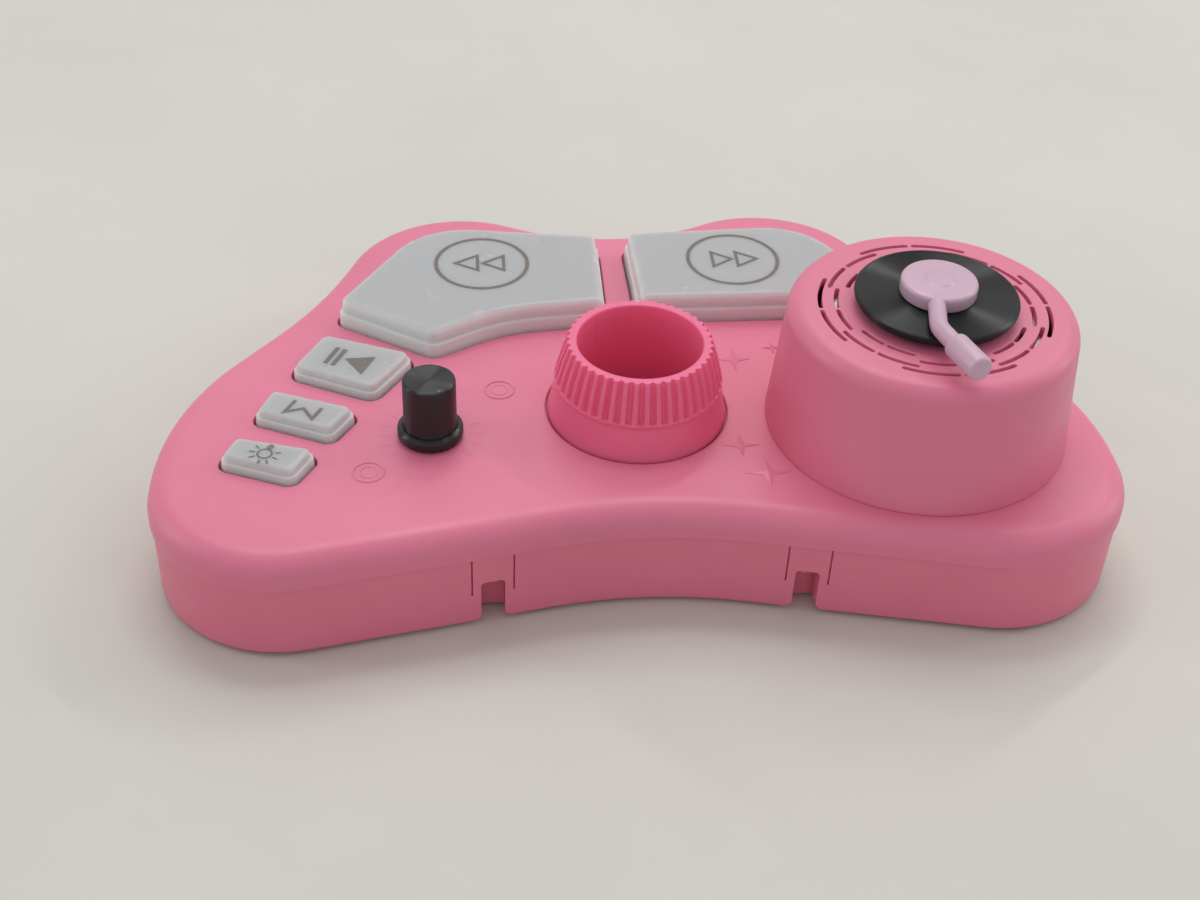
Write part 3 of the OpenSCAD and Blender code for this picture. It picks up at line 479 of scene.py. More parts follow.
def lower_shell(material):
    """Tray with upright walls, two clip slots in front and the power switch's opening at the back."""
    s = Shape()
    cache = {}

    def place(u, d):
        """A point of the body's outline, d inward, u counted in outline points."""
        key = round(d, 4)
        ring = cache.setdefault(key, rounded(BODY, d))
        i = int(u) % len(ring)
        f = u - int(u)
        a, b = ring[i], ring[(i + 1) % len(ring)]
        return a[0] + (b[0] - a[0]) * f, a[1] + (b[1] - a[1]) * f

    def column(u, dx, opening):
        """Vertices up the outside of the wall, from its bottom edge or from the top of a clip slot."""
        upper = [13.2, 16, 19.75, PARTING]
        if dx is not None and abs(dx) < NOTCH:
            low = 11.8 + math.sqrt(max(0.0, 1 - max(0.0, abs(dx) - NOTCH + 1) ** 2))
            rows = [(low, STEP), (low + 0.02, STEP)] + [(z, STEP) for z in upper]
        else:
            low, r = BASE, 1.5
            if dx is not None and abs(dx) < ARCH:
                t = 2.2 - (abs(dx) - NOTCH)
                low = 2.6 - math.sqrt(max(0.0, 1.8 ** 2 - t * t))
                r = 0.3 + 1.2 * (abs(dx) - NOTCH) / 2.2
            rows = [
                (low + r * (1 - math.cos(a)), STEP + r * (1 - math.sin(a)))
                for a in (0, math.pi / 6, math.pi / 3, math.pi / 2)
            ]
            groove = 0.9 if dx is not None and 4.5 < abs(dx) < ARCH else 0
            pocket = 2.1 if opening else 0
            deep = STEP + groove + pocket
            rows += [(5.5, STEP), (8.18, STEP), (8.2, STEP + pocket), (9.45, STEP + pocket), (9.5, deep)]
            rows += [(11.8, deep), (11.82, STEP + groove)] + [(z, STEP + groove) for z in upper]
        rows[-1] = (PARTING, rows[-1][1] + 0.15)
        return s.points([(*place(u, d), z) for z, d in rows])

    columns = wall_columns()
    outer = [column(*c) for c in columns]
    n = len(columns)
    bottom_loop = []
    slots = {-CLIP_X: [], CLIP_X: []}
    for k, (u, dx, _) in enumerate(columns):
        here, after = outer[k], outer[(k + 1) % n]
        rows = min(len(here), len(after))
        for a, b, c, d in zip(here[-rows:], here[-rows + 1:], after[-rows:], after[-rows + 1:]):
            s.bm.faces.new((a, c, d, b))
        if dx is None or abs(dx) >= ARCH:
            bottom_loop.append(here[0])
        if dx is not None and abs(dx) <= ARCH:
            side = -CLIP_X if here[0].co.x < 0 else CLIP_X
            if abs(dx) == NOTCH:
                rise = here[:10]
                slots[side] += rise if dx < 0 else list(reversed(rise))
            else:
                slots[side].append(here[0])
    for side, front in slots.items():
        clip_pocket(s, side, front, bottom_loop)
    inner_points = []
    for u, dx, _ in columns:
        x, y = place(u, STEP + WALL)
        inner_points.append((x, -50.2) if dx is not None and abs(dx) <= 5.3 else (x, y))
    lip = s.drawn([c[-1] for c in outer], at(inner_points, PARTING))
    foot = s.drawn(lip, at(inner_points, FLOOR))
    bottoms, floors = [bottom_loop], [foot]
    for p in POSTS:
        rings = s.lathe(p, [
            (3.45, BASE), (3.2, BASE + 0.25), (3.2, 6.8), (1.55, 6.8), (1.55, PARTING), (4.6, PARTING),
            (4.6, FLOOR)
        ], 40)
        bottoms.append(rings[0])
        floors.append(rings[-1])
    for p in FEET:
        rings = s.lathe(p, [(5.1, BASE), (5.1, 1.45)], 48)
        s.fill([rings[-1]], down=True)
        bottoms.append(rings[0])
    door = [(-26.8, 2.1), (26.8, 2.1), (26.8, 50.4), (-26.8, 50.4)]
    rings = s.stack([at(door, BASE), at(door, FLOOR)])
    bottoms.append(rings[0])
    floors.append(rings[-1])
    s.fill(bottoms, down=True)
    s.fill(floors)
    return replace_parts(s.done("lower_shell_look", "case", material, "pink_base", 30), "lower_shell")


def battery_room(material):
    """Inside of the battery box, seen when the door is open."""
    s = Shape()
    y0, y1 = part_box("contact_plates")[0].y / MM - 1.0, 53.6
    rects = [[(-28 - w, y0 - w), (28 + w, y0 - w), (28 + w, y1 + w), (-28 - w, y1 + w)] for w in (0, 1.2)]
    rings = s.stack([at(rects[0], 17.8), at(rects[0], FLOOR), at(rects[1], FLOOR), at(rects[1], 19)])
    s.fill([rings[0]], down=True)
    s.fill([rings[-1]])
    return s.done("battery_room", "case", material, "pink_base")


# ------------------------------------------------------------------ pads and buttons


def key(name, edge, height, material):
    """A hollow key: flange under the deck, lower tier, narrow ledge, and upper tier with a round edge."""
    s = Shape()
    top = DECK + height
    z = lambda share: DECK + share * height
    levels = [(-1.2, 24.3), (-1.2, 25.5), (0, 25.5), (0.06, 27.2), (0.28, z(0.40))]
    levels += [(0.33, z(0.43)), (0.46, z(0.455)), (0.74, z(0.47)), (0.84, z(0.49)), (0.9, z(0.53))]
    r = 0.2 * height
    quarter = [math.radians(15 * k) for k in range(7)]
    levels += [(2.3 - 1.2 * math.cos(a), top - r + r * math.sin(a)) for a in quarter]
    levels += [(2.9, top)]
    outer = s.stack([at(rounded(edge, d, 6), h) for d, h in levels])
    hollow = ((1.2, 24.3), (1.2, 26.2), (2.2, 26.8), (2.2, top - 2.4))
    inner = s.stack([at(rounded(edge, d, 6), h) for d, h in hollow])
    s.bridge(inner[0], outer[0])
    s.fill([outer[-1]])
    s.fill([inner[-1]], down=True)
    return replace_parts(s.done(name + "_look", name, material, "pad_white", 60), name)


class Print:
    """Thin printed marks on top of a key."""

    def __init__(self, z):
        self.s = Shape()
        self.z0, self.z1 = z - 0.02, z + 0.025

    def ring(self, centre, r, width):
        a, b = r + width / 2, r - width / 2
        self.s.lathe(centre, [(b, self.z0), (a, self.z0), (a, self.z1), (b, self.z1), (b, self.z0)], 96)

    def solid(self, points):
        low, high = self.s.stack([at(points, self.z0), at(points, self.z1)])
        self.s.fill([high])
        self.s.fill([low], down=True)

    def stroke(self, points, width):
        """A line of one width through points, mitred at each bend."""
        p = [Vector(q) for q in points]
        dirs = [(b - a).normalized() for a, b in zip(p, p[1:])]
        left, right = [], []
        for i, q in enumerate(p):
            u, v = dirs[max(i - 1, 0)], dirs[min(i, len(dirs) - 1)]
            side = (left_of(u) + left_of(v)) * (width / 2 / (1 + u.dot(v)))
            left.append(tuple(q + side))
            right.append(tuple(q - side))
        self.solid(left + right[::-1])

    def outline(self, points, width):
        """A closed line of one width, inside counter-clockwise corners."""
        inner = [(x, y) for x, y, _ in moved_in([(*q, 0) for q in points], width)]
        corners = ((points, self.z0), (points, self.z1), (inner, self.z1), (inner, self.z0))
        self.s.stack([at(q, z) for q, z in corners + corners[:1]])

    def done(self, name, body, material):
        return self.s.done(name, body, material, "pad_white")


def icons(material):
    """The marks on the pads and the buttons."""
    mark = Print(DECK + PAD_RISE)
    mark.ring((-35.25, 34.5), 11.75, 1.0)
    for tip, base in (((-42.9, 34.7), -35.9), ((-35.7, 34.5), -29.2)):
        mark.outline([tip, (base, tip[1] - 4.2), (base, tip[1] + 4.2)], 0.85)
    mark.done("left_pad_print", "left_pad", material)
    mark = Print(DECK + PAD_RISE)
    mark.ring((30.25, 34.8), 11.75, 1.0)
    for base, tip in ((24.5, 30.8), (30.9, 37.4)):
        mark.outline([(tip, 34.9), (base, 39.1), (base, 30.7)], 0.85)
    mark.done("right_pad_print", "right_pad", material)
    z = DECK + BUTTON_RISE
    mark = Print(z)
    mark.stroke([(-70.9, 2.9), (-73.9, -3.5)], 1.15)
    mark.stroke([(-69.1, 2.0), (-72.1, -4.4)], 1.15)
    mark.solid([(-69.2, -1.7), (-65.1, -8.4), (-61.8, -1.4)])
    mark.done("play_print", "play_button", material)
    mark = Print(z)
    mark.stroke([(-80.0, -18.1), (-82.3, -22.4), (-78.0, -21.3), (-75.9, -25.3), (-73.8, -21.4)], 0.85)
    mark.done("mode_print", "mode_button", material)
    mark = Print(z)
    bulb = Vector((-85.75, -37.78))
    mark.ring(bulb, 1.6, 0.45)
    neck = Vector((0.46, 0.89))
    for reach, width in ((1.85, 1.3), (2.45, 1.5), (3.05, 1.1)):
        mark.stroke([bulb + neck * reach, bulb + neck * (reach + 0.42)], width)
    for degrees in (-198, -161, -113, -77, -37, 3, -235):
        t = math.radians(degrees)
        out = Vector((math.cos(t), math.sin(t)))
        mark.stroke([bulb + out * 2.3, bulb + out * 3.65], 0.42)
    mark.done("light_print", "light_button", material)


# ------------------------------------------------------------------ ring and socket


def socket_ring(material):
    """A turned ring with 44 round flutes that start on a ledge above the skirt."""
    s = Shape()
    flutes, per = 44, 12
    n = flutes * per
    top, band, foot = DECK + 19.1, 37.3, 27.1
    bore = 14.65

    def flute(k):
        """1 on the narrow crest between two flutes, 0 at the bottom of a flute."""
        t = abs((k % per) / per - 0.5) * 2
        return 1.0 if t > 0.6 else 1 - math.cos(math.pi / 2 * t / 0.6) ** 0.7

    def level(z, radius):
        """Points round the ring's axis at one height, with a radius for each step."""
        angles = [2 * math.pi * k / n for k in range(n)]
        return [
            (RING[0] + radius(k) * math.cos(a), RING[1] + radius(k) * math.sin(a), z)
            for k, a in enumerate(angles)
        ]

    # three faint upright seams in the far wall of the bore
    seams = [int(n * a / 360) for a in (62, 95, 128)]
    levels = []
    plain = [(17, 20.8), (17, foot), (21.0, foot), (21.2, foot + 0.2), (21.2, DECK + 0.2)]
    plain += [
        (21.2 - 1.75 * t ** 0.85, DECK + 0.2 + (band - 1.3 - DECK - 0.2) * t)
        for t in (0.15, 0.35, 0.6, 0.85, 1)
    ]
    plain += [(19.5, band - 1.1), (19.72, band - 0.8), (19.82, band - 0.4), (19.8, band - 0.05)]
    for r, z in plain:
        levels.append(at(circle(RING, r, n), z))
    for z, crest, valley in (
        (band, 19.78, 19.6), (band + 0.04, 19.75, 18.9), (band + 0.14, 19.7, 18.5),
        (band + 0.7, 19.55, 18.25), (band + 3.5, 18.85, 17.6), (band + 6, 18.2, 17.0),
        (top - 2.2, 17.6, 16.5), (top - 1.2, 17.35, 16.35), (top - 0.55, 17.15, 16.3),
        (top - 0.2, 17.02, 16.26), (top - 0.05, 16.9, 16.25),
    ):
        levels.append(level(z, lambda k: valley + (crest - valley) * flute(k)))
    for r, z in ((16.1, top), (15.1, top), (14.9, top - 0.05), (14.75, top - 0.18)):
        levels.append(at(circle(RING, r, n), z))
    for z in (top - 0.45, top - 4, top - 9, top - 14, top - 20, 20.8):
        levels.append(level(z, lambda k: bore - (0.07 if k in seams else 0)))
    s.stack(levels + levels[:1])
    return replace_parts(s.done("socket_ring_look", "socket_ring", material, "pink_top", 42), "socket_ring")


def socket_cup(material):
    """The cup that closes the socket at the floor of the case."""
    s = Shape()
    z0 = FLOOR
    s.lathe(RING, [
        (0, z0), (17, z0), (17, 20.5), (14.9, 20.5), (14.9, z0 + 2.2), (14.3, z0 + 1.6), (11, z0 + 1.6),
        (10.6, z0 + 1.9), (9.8, z0 + 1.9), (9.4, z0 + 1.6), (0, z0 + 1.6)
    ], 96)
    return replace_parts(s.done("socket_cup_look", "case", material, "pink_base"), "socket_cup")


# ------------------------------------------------------------------ knob, disc and arm


def knob(material):
    """A tall push-on knob with a skirt, and a small printed dot on its top."""
    s = Shape()
    z0, top = DECK + 0.4, DECK + 16
    s.lathe(KNOB, [
        (0, top - 2.2), (3.08, top - 2.2), (3.08, z0), (7.1, z0), (7.45, z0 + 0.12), (7.6, z0 + 0.45),
        (7.6, z0 + 2.0), (7.54, z0 + 2.25), (7.38, z0 + 2.42), (6.9, z0 + 2.75), (6.62, z0 + 2.86),
        (6.5, z0 + 2.9), (6.32, z0 + 2.86), (6.22, z0 + 2.7), (6.16, z0 + 2.9), (6.14, z0 + 6),
        (6.12, z0 + 11), (6.1, top - 0.9), (6.08, top - 0.62), (5.98, top - 0.3), (5.72, top - 0.08),
        (5.4, top), (5.2, top - 0.02), (4.4, top - 0.05), (3.4, top - 0.07), (1.5, top - 0.09),
        (0.6, top - 0.09), (0, top - 0.09)
    ], 96)
    points = circle((KNOB[0] + 2.3, KNOB[1] - 4.6), 0.36, 16)
    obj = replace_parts(s.done("knob_look", "knob", material["gloss"], "black_gloss", 30), "knob_cap")
    dot = Shape()
    dot.prism(points, top - 0.08, top - 0.005)
    dot.done("knob_mark", "knob", material["print"], "black_gloss")
    return obj


def record_disc(material):
    """A thick disc with a round edge undercut in the middle, on its tube."""
    s = Shape()
    z0, r = DISC_Z, 18.6
    s.lathe(TURRET, [
        (2.46, TUBE_FOOT), (4, TUBE_FOOT), (4, z0),
        (r - 1.5, z0), (r - 0.95, z0 + 0.14), (r - 0.5, z0 + 0.5), (r - 0.42, z0 + 0.95),
        (r - 0.36, z0 + 1.1), (r - 0.1, z0 + 1.22), (r, z0 + 1.45),
        (r, z0 + 1.95), (r - 0.08, z0 + 2.25), (r - 0.3, z0 + 2.44), (r - 0.6, z0 + 2.5),
        (r - 1.1, z0 + 2.5), (r - 1.4, z0 + 2.42), (r - 1.8, z0 + 2.4), (14, z0 + 2.4), (9.8, z0 + 2.4),
        (9.4, z0 + 2.46), (9, z0 + 2.5), (2.46, z0 + 2.5), (2.46, TUBE_FOOT)
    ], 128)
    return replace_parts(s.done("record_disc_look", "record", material, "black_gloss", 30), "record_disc")


def tonearm(material):
    """A hub on a pin, and a bent arm that ends in a thick head."""
    s = Shape()
    z0, r, h = HUB_Z, 8.7, 3.8
    s.lathe(TURRET, [
        (0, 51.6), (2.4, 51.6), (2.4, z0), (r - 0.5, z0), (r - 0.15, z0 + 0.15), (r, z0 + 0.5),
        (r, z0 + 2.6), (r - 0.06, z0 + 2.95), (r - 0.25, z0 + 3.28), (r - 0.55, z0 + 3.46),
        (r - 0.9, z0 + 3.52), (r - 1.9, z0 + 3.54), (4.0, z0 + 3.54), (3.6, z0 + 3.55),
        (3.35, z0 + 3.62), (3.1, z0 + 3.76), (2.7, z0 + 3.8), (0, z0 + h)
    ], 96)
    corners = [(-2.0, -6), (-3.9, -16.2), (-2.6, -20.5), (1.4, -32.4)]
    corners = [Vector((TURRET[0] + x, TURRET[1] + y, ARM_Z)) for x, y in corners]
    path = [corners[0]]
    for i in (1, 2):
        a, b, c = corners[i - 1], corners[i], corners[i + 1]
        reach = 1.8
        p, q = b + (a - b).normalized() * reach, b + (c - b).normalized() * reach
        path += [p * (1 - t) ** 2 + b * 2 * t * (1 - t) + q * t * t for t in (k / 8 for k in range(9))]
    path.append(corners[3])
    radii = [2.0] * len(path)
    along = (corners[3] - corners[2]).normalized()
    length = (corners[3] - corners[2]).length
    # share of the last stretch, and radius there: a shoulder, then the thick head
    head = [
        (0.165, 2.0), (0.175, 2.35), (0.195, 2.75), (0.22, 2.88), (0.25, 2.9), (0.6, 2.9), (0.93, 2.88),
        (0.965, 2.8), (0.988, 2.6), (1.0, 2.25)
    ]
    path, radii = path[:-1], radii[:-1]
    for share, radius in head:
        path.append(corners[2] + along * (length * share))
        radii.append(radius)
    s.tube(path, radii, 28)
    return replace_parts(s.done("tonearm_look", "tonearm", material, "lilac", 40), "tonearm")


# ------------------------------------------------------------------ materials


def linear(r, g, b):
    """Scene-linear colour from display values of 0 to 255."""
    def channel(c):
        c /= 255
        return c / 12.92 if c <= 0.04045 else ((c + 0.055) / 1.055) ** 2.4
    return channel(r), channel(g), channel(b), 1.0


class Finish:
    """A node material: a Principled shader fed by textures in object coordinates."""

    def __init__(self, name, color, roughness, **sockets):
        self.material = bpy.data.materials.new(name)
        self.material.use_nodes = True
        self.nodes = self.material.node_tree.nodes
        self.links = self.material.node_tree.links
        self.shader = self.nodes["Principled BSDF"]
        self.shader.inputs["Base Color"].default_value = color
        self.shader.inputs["Roughness"].default_value = roughness
        for key, value in sockets.items():
            self.shader.inputs[key.replace("_", " ")].default_value = value
        self.coords = self.nodes.new("ShaderNodeTexCoord").outputs["Object"]
        self.color = color
        self.normal = None

    def mapped(self, scale=(1, 1, 1), turn=0.0, origin=(0, 0, 0)):
        node = self.nodes.new("ShaderNodeMapping")
        node.vector_type = "TEXTURE" if origin != (0, 0, 0) else "POINT"
        node.inputs["Scale"].default_value = scale
        node.inputs["Rotation"].default_value = (0, 0, turn)
        node.inputs["Location"].default_value = origin
        self.links.new(self.coords, node.inputs["Vector"])
        return node.outputs[0]

    def noise(self, scale, detail=2.0, rough=0.5, vector=None):
        node = self.nodes.new("ShaderNodeTexNoise")
        node.inputs["Scale"].default_value = scale
        node.inputs["Detail"].default_value = detail
        node.inputs["Roughness"].default_value = rough
        self.links.new(vector or self.coords, node.inputs["Vector"])
        return node.outputs["Fac"]

    def ramp(self, fac, stops):
        node = self.nodes.new("ShaderNodeValToRGB")
        while len(node.color_ramp.elements) < len(stops):
            node.color_ramp.elements.new(0.5)
        for element, (place, color) in zip(node.color_ramp.elements, stops):
            element.position = place
            element.color = color if len(color) == 4 else (*color, 1)
        self.links.new(fac, node.inputs["Fac"])
        return node.outputs["Color"]

    def shades(self, fac, low, high, start=0.3, end=0.7):
        """The base colour varied between two strengths."""
        c = self.color
        stops = [(p, tuple(min(1, x * k) for x in c[:3])) for p, k in ((start, low), (end, high))]
        self.links.new(self.ramp(fac, stops), self.shader.inputs["Base Color"])

    def spread(self, fac, low, high, socket="Roughness", start=0.0, end=1.0):
        node = self.nodes.new("ShaderNodeMapRange")
        for key, value in (("From Min", start), ("From Max", end), ("To Min", low), ("To Max", high)):
            node.inputs[key].default_value = value
        self.links.new(fac, node.inputs["Value"])
        if socket:
            self.links.new(node.outputs[0], self.shader.inputs[socket])
        return node.outputs[0]

    def bump(self, height, distance, strength=1.0):
        node = self.nodes.new("ShaderNodeBump")
        node.inputs["Distance"].default_value = distance
        node.inputs["Strength"].default_value = strength
        self.links.new(height, node.inputs["Height"])
        if self.normal:
            self.links.new(self.normal, node.inputs["Normal"])
        self.normal = node.outputs[0]
        self.links.new(self.normal, self.shader.inputs["Normal"])

    def around(self):
        """Tangents that run round the object's vertical line, so that its shine is drawn out."""
        node = self.nodes.new("ShaderNodeTangent")
        node.direction_type = "RADIAL"
        node.axis = "Z"
        self.links.new(node.outputs[0], self.shader.inputs["Tangent"])


def moulded(name, color, roughness=0.42, **sockets):
    """Satin moulded plastic: faint clouding, fine spark texture, a few soft rubbed patches."""
    f = Finish(name, color, roughness, **sockets)
    cloud = f.noise(28, 4, 0.55)
    f.shades(cloud, 0.965, 1.035)
    f.spread(f.noise(90, 3, 0.6), roughness - 0.05, roughness + 0.06, start=0.3, end=0.7)
    f.bump(f.noise(2600, 2, 0.5), 0.00001, 0.35)
    f.bump(f.noise(60, 1, 0.4), 0.00012, 0.12)
    scratch = f.noise(260, 1, 0.4, f.mapped((1, 14, 1), 0.7))
    f.bump(f.ramp(scratch, [(0.70, (1, 1, 1)), (0.74, (0, 0, 0))]), 0.000006, 0.5)
    return f.material


def gloss(name, color, roughness):
    """Polished black plastic with a faint grain."""
    f = Finish(name, color, roughness, Specular_IOR_Level=0.6)
    f.spread(f.noise(70, 3, 0.5), roughness - 0.02, roughness + 0.03, start=0.3, end=0.75)
    f.bump(f.noise(900, 2, 0.5), 0.000006, 0.25)
    return f


def milky(name, top, glow):
    """Translucent plastic, its base colour painted lighter down its sides than on its top face as a painted
    stand-in for light passing through the plastic; top is that face's height and glow scales that painted
    light.
    """
    f = Finish(name, linear(178, 178, 178), 0.24, Subsurface_Weight=0.8, Subsurface_Scale=0.006,
               Subsurface_Radius=(1.0, 0.8, 0.8), Specular_IOR_Level=0.5)
    split = f.nodes.new("ShaderNodeSeparateXYZ")
    f.links.new(f.coords, split.inputs[0])
    height = f.spread(split.outputs["Z"], 0, 1, None, (top - 1.6) * MM, top * MM)
    # painted light: these stops make the base colour lighter low on the sides than at the top face,
    # standing in for light shining through the translucent sides; glow sets how far the colours move away
    # from the top's grey
    stops = ((0.0, (224, 232, 226)), (0.55, (214, 219, 216)), (1.0, (178, 178, 178)))
    painted_side_light = f.ramp(height, [(p, linear(*(178 + (c - 178) * glow for c in rgb))) for p, rgb in stops])
    f.links.new(painted_side_light, f.shader.inputs["Base Color"])
    f.spread(f.noise(120, 2, 0.5), 0.21, 0.28, start=0.3, end=0.7)
    f.bump(f.noise(1800, 2, 0.5), 0.000004, 0.3)
    return f.material


def metal(name, color, roughness, grain=(1, 1, 18)):
    """Brushed metal."""
    f = Finish(name, color, roughness, Metallic=1.0)
    brushed = f.noise(420, 3, 0.6, f.mapped(grain))
    f.shades(brushed, 0.88, 1.1)
    f.spread(brushed, roughness - 0.07, roughness + 0.1, start=0.3, end=0.7)
    f.bump(brushed, 0.000012, 0.4)
    return f.material


def plain_parts():
    """Finishes of the pieces inside and underneath, by material slot."""
    made = {}
    made["foot_rubber"] = moulded("foot_rubber_finish", (0.021, 0.021, 0.022, 1), 0.75)
    made["steel"] = metal("steel_finish", (0.56, 0.56, 0.57, 1), 0.32)
    f = Finish("board_finish", (0.02, 0.13, 0.05, 1), 0.35)
    f.shades(f.noise(180, 3, 0.6), 0.8, 1.25)
    f.bump(f.noise(1400, 2, 0.5), 0.00002, 0.3)
    made["board_green"] = f.material
    made["silicone"] = moulded(
        "silicone_finish", (0.60, 0.60, 0.56, 1), 0.55, Subsurface_Weight=0.2, Subsurface_Scale=0.002)
    f = Finish("lamp_finish", (0.9, 0.9, 0.86, 1), 0.1, Transmission_Weight=0.5, IOR=1.5)
    f.spread(f.noise(300, 2, 0.5), 0.05, 0.2)
    made["lamp_clear"] = f.material
    made["magnet_grey"] = moulded("magnet_finish", (0.055, 0.055, 0.062, 1), 0.6, Metallic=0.4)
    f = Finish("cone_finish", (0.012, 0.012, 0.013, 1), 0.8)
    f.shades(f.noise(500, 6, 0.7), 0.6, 1.7)
    f.bump(f.noise(700, 5, 0.65), 0.00008, 0.6)
    made["cone_black"] = f.material
    f = Finish("cell_finish", (0.04, 0.18, 0.075, 1), 0.28, Metallic=0.35)
    f.shades(f.noise(45, 3, 0.5), 0.85, 1.15)
    f.bump(f.noise(120, 2, 0.4), 0.00004, 0.25)
    made["cell_green"] = f.material
    made["lead_red"] = moulded("lead_finish", (0.36, 0.012, 0.012, 1), 0.4)
    made["black_matte"] = moulded("black_matte_finish", (0.018, 0.018, 0.019, 1), 0.5)
    return made


PINK = linear(223, 120, 148)


def surface_finishes():
    """Finishes of the pieces that show from above."""
    made = {}
    made["top"] = moulded("pink_top_finish", PINK, 0.40, Specular_IOR_Level=0.5)
    made["base"] = moulded("pink_base_finish", linear(224, 118, 144), 0.44)
    made["ring"] = moulded("ring_finish", linear(238, 109, 147), 0.36, Subsurface_Weight=0.45,
                           Subsurface_Scale=0.007, Subsurface_Radius=(1.0, 0.2, 0.3))
    # pads and buttons: base colour painted lighter down their sides, a painted stand-in for light through
    # the plastic; the last number sets how strong it is
    made["pad"] = milky("pad_finish", DECK + PAD_RISE, 1.0)
    made["button"] = milky("button_finish", DECK + BUTTON_RISE, 0.55)
    f = Finish("print_finish", linear(112, 102, 94), 0.5)
    f.shades(f.noise(900, 4, 0.7), 0.85, 1.2)
    f.bump(f.noise(3000, 1, 0.5), 0.000004, 0.4)
    made["print"] = f.material
    f = gloss("knob_finish", (0.004, 0.003, 0.003, 1), 0.30)
    f.shader.inputs["Anisotropic"].default_value = 1.0
    f.shader.inputs["Anisotropic Rotation"].default_value = 0.25
    f.around()
    made["knob"] = f.material
    f = gloss("disc_finish", (0.004, 0.003, 0.003, 1), 0.40)
    f.shader.inputs["Specular IOR Level"].default_value = 0.42
    f.shader.inputs["Anisotropic"].default_value = 1.0
    f.shader.inputs["Anisotropic Rotation"].default_value = 0.25
    f.around()
    made["disc"] = f.material
    f = Finish("lilac_finish", linear(200, 165, 183), 0.30, Specular_IOR_Level=0.55)
    f.shades(f.noise(60, 3, 0.5), 0.97, 1.03)
    f.spread(f.noise(200, 3, 0.6), 0.26, 0.36, start=0.3, end=0.7)
    f.bump(f.noise(2600, 2, 0.5), 0.000006, 0.3)
    made["lilac"] = f.material
    return made


# ------------------------------------------------------------------ the scene


def dress_carried_over(finishes):
    """Every CAD piece still shown takes the finish of its slot."""
    slots = {row["node"]: row["material_slot"] for row in frame["record"]["subparts"]}
    for node, obj in frame["nodes"].items():
        if obj.hide_render:
            continue
        slot = slots[node]
        material = finishes.get(slot) or finishes["pink_base"]
        obj.data.materials.clear()
        obj.data.materials.append(material)


def floor():
    """The plain surface that the object stands on."""
    bm = bmesh.new()
    size = 3.0
    corners = [bm.verts.new((x * size, y * size, 0)) for x, y in ((-1, -1), (1, -1), (1, 1), (-1, 1))]
    bm.faces.new(corners)
    mesh = bpy.data.meshes.new("floor")
    bm.to_mesh(mesh)
    bm.free()
    f = Finish("floor_finish", linear(207, 204, 195), 0.6)
    f.shades(f.noise(6, 5, 0.6), 0.95, 1.04)
    f.bump(f.noise(500, 3, 0.6), 0.00003, 0.3)
    mesh.materials.append(f.material)
    obj = bpy.data.objects.new("floor", mesh)
    bpy.context.scene.collection.objects.link(obj)


def soft_light(name, place, along, length, width, glow, color=(1, 1, 1)):
    """A rectangular light facing the object, its long side along a direction, of one brightness."""
    data = bpy.data.lights.new(name, "AREA")
    data.shape = "RECTANGLE"
    data.size, data.size_y = length, width
    data.energy = 4 * glow * length * width
    data.color = color
    obj = bpy.data.objects.new(name, data)
    bpy.context.scene.collection.objects.link(obj)
    back = (Vector(place) - Vector((0, 0, 0.03))).normalized()
    side = (Vector(along) - back * back.dot(Vector(along))).normalized()
    up = back.cross(side)
    obj.location = place
    obj.rotation_mode = "QUATERNION"
    obj.rotation_quaternion = Matrix((side, up, back)).transposed().to_quaternion()
    return obj


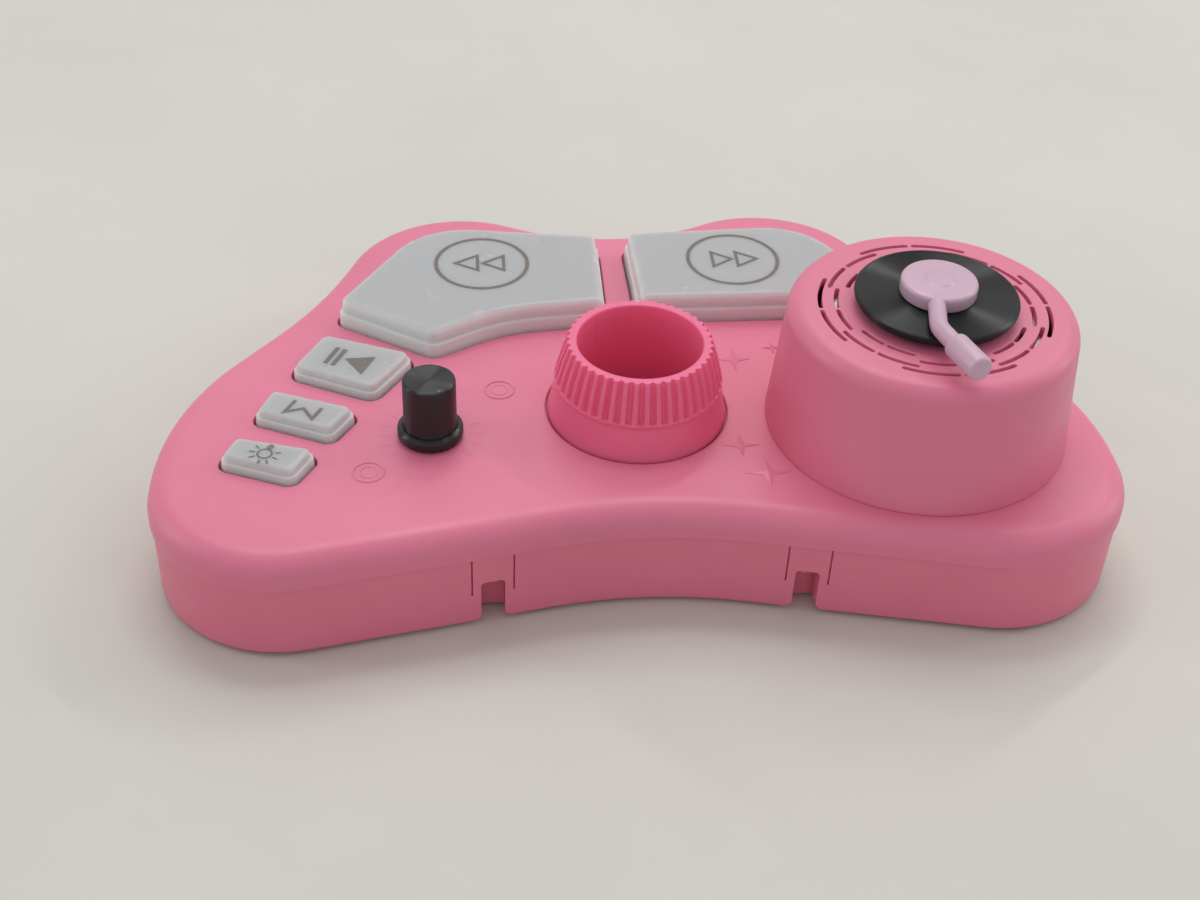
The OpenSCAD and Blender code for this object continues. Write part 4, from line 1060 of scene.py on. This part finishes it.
def studio():
    world = bpy.data.worlds.new("studio")
    world.use_nodes = True
    background = world.node_tree.nodes["Background"]
    background.inputs["Color"].default_value = (0.96, 0.97, 1.0, 1)
    background.inputs["Strength"].default_value = 0.63
    bpy.context.scene.world = world
    soft_light("overhead", (0.0, 0.42, 1.3), (1, 0, 0), 0.8, 0.22, 4)
    soft_light("far_panel", (0.25, 3.2, 2.5), (1, 0, 0), 4.0, 1.5, 0.3, (1.0, 0.99, 0.97))
    # two strips whose shine crosses on turned surfaces
    soft_light("left_strip", (0.0, 1.10, 1.72), (0.81, 0.59, 0), 1.3, 0.05, 20)
    soft_light("right_strip", (1.18, 1.01, 1.36), (-0.70, 0.72, 0), 1.0, 0.05, 20)
    soft_light("left_side", (-0.95, 0.10, 0.42), (0, 0, 1), 0.7, 0.18, 2.4)
    soft_light("right_side", (0.95, 0.15, 0.42), (0, 0, 1), 0.7, 0.18, 2.4)


def camera():
    data = bpy.data.cameras.new("camera")
    data.sensor_width = 36
    data.lens = 51.0
    data.clip_start, data.clip_end = 0.01, 20
    obj = bpy.data.objects.new("camera", data)
    bpy.context.scene.collection.objects.link(obj)
    forward = Vector((0.0853, 0.7772, -0.6235)).normalized()
    up = Vector((0.0237, 0.624, 0.781))
    right = forward.cross(up).normalized()
    up = right.cross(forward)
    obj.matrix_world = Matrix((
        (right.x, up.x, -forward.x, -0.0434),
        (right.y, up.y, -forward.y, -0.3391),
        (right.z, up.z, -forward.z, 0.2720),
        (0, 0, 0, 1),
    ))
    bpy.context.scene.camera = obj


def build():
    look = surface_finishes()
    finishes = plain_parts()
    finishes["pink_base"] = look["base"]
    finishes["pink_top"] = look["top"]
    upper_shell(look["top"])
    turret(look["top"])
    raised_marks(look["top"])
    lower_shell(look["base"])
    battery_room(look["base"])
    for name, edge, height in (
        ("left_pad", LEFT_PAD, PAD_RISE), ("right_pad", RIGHT_PAD, PAD_RISE),
        ("play_button", PLAY, BUTTON_RISE), ("mode_button", MODE, BUTTON_RISE),
        ("light_button", LIGHT, BUTTON_RISE),
    ):
        key(name, edge, height, look["pad" if height == PAD_RISE else "button"])
    icons(look["print"])
    socket_ring(look["ring"])
    socket_cup(look["base"])
    knob({"gloss": look["knob"], "print": look["print"]})
    record_disc(look["disc"])
    tonearm(look["lilac"])
    dress_carried_over(finishes)
    floor()
    studio()
    camera()
    bpy.context.scene.view_settings.view_transform = "Standard"


build()
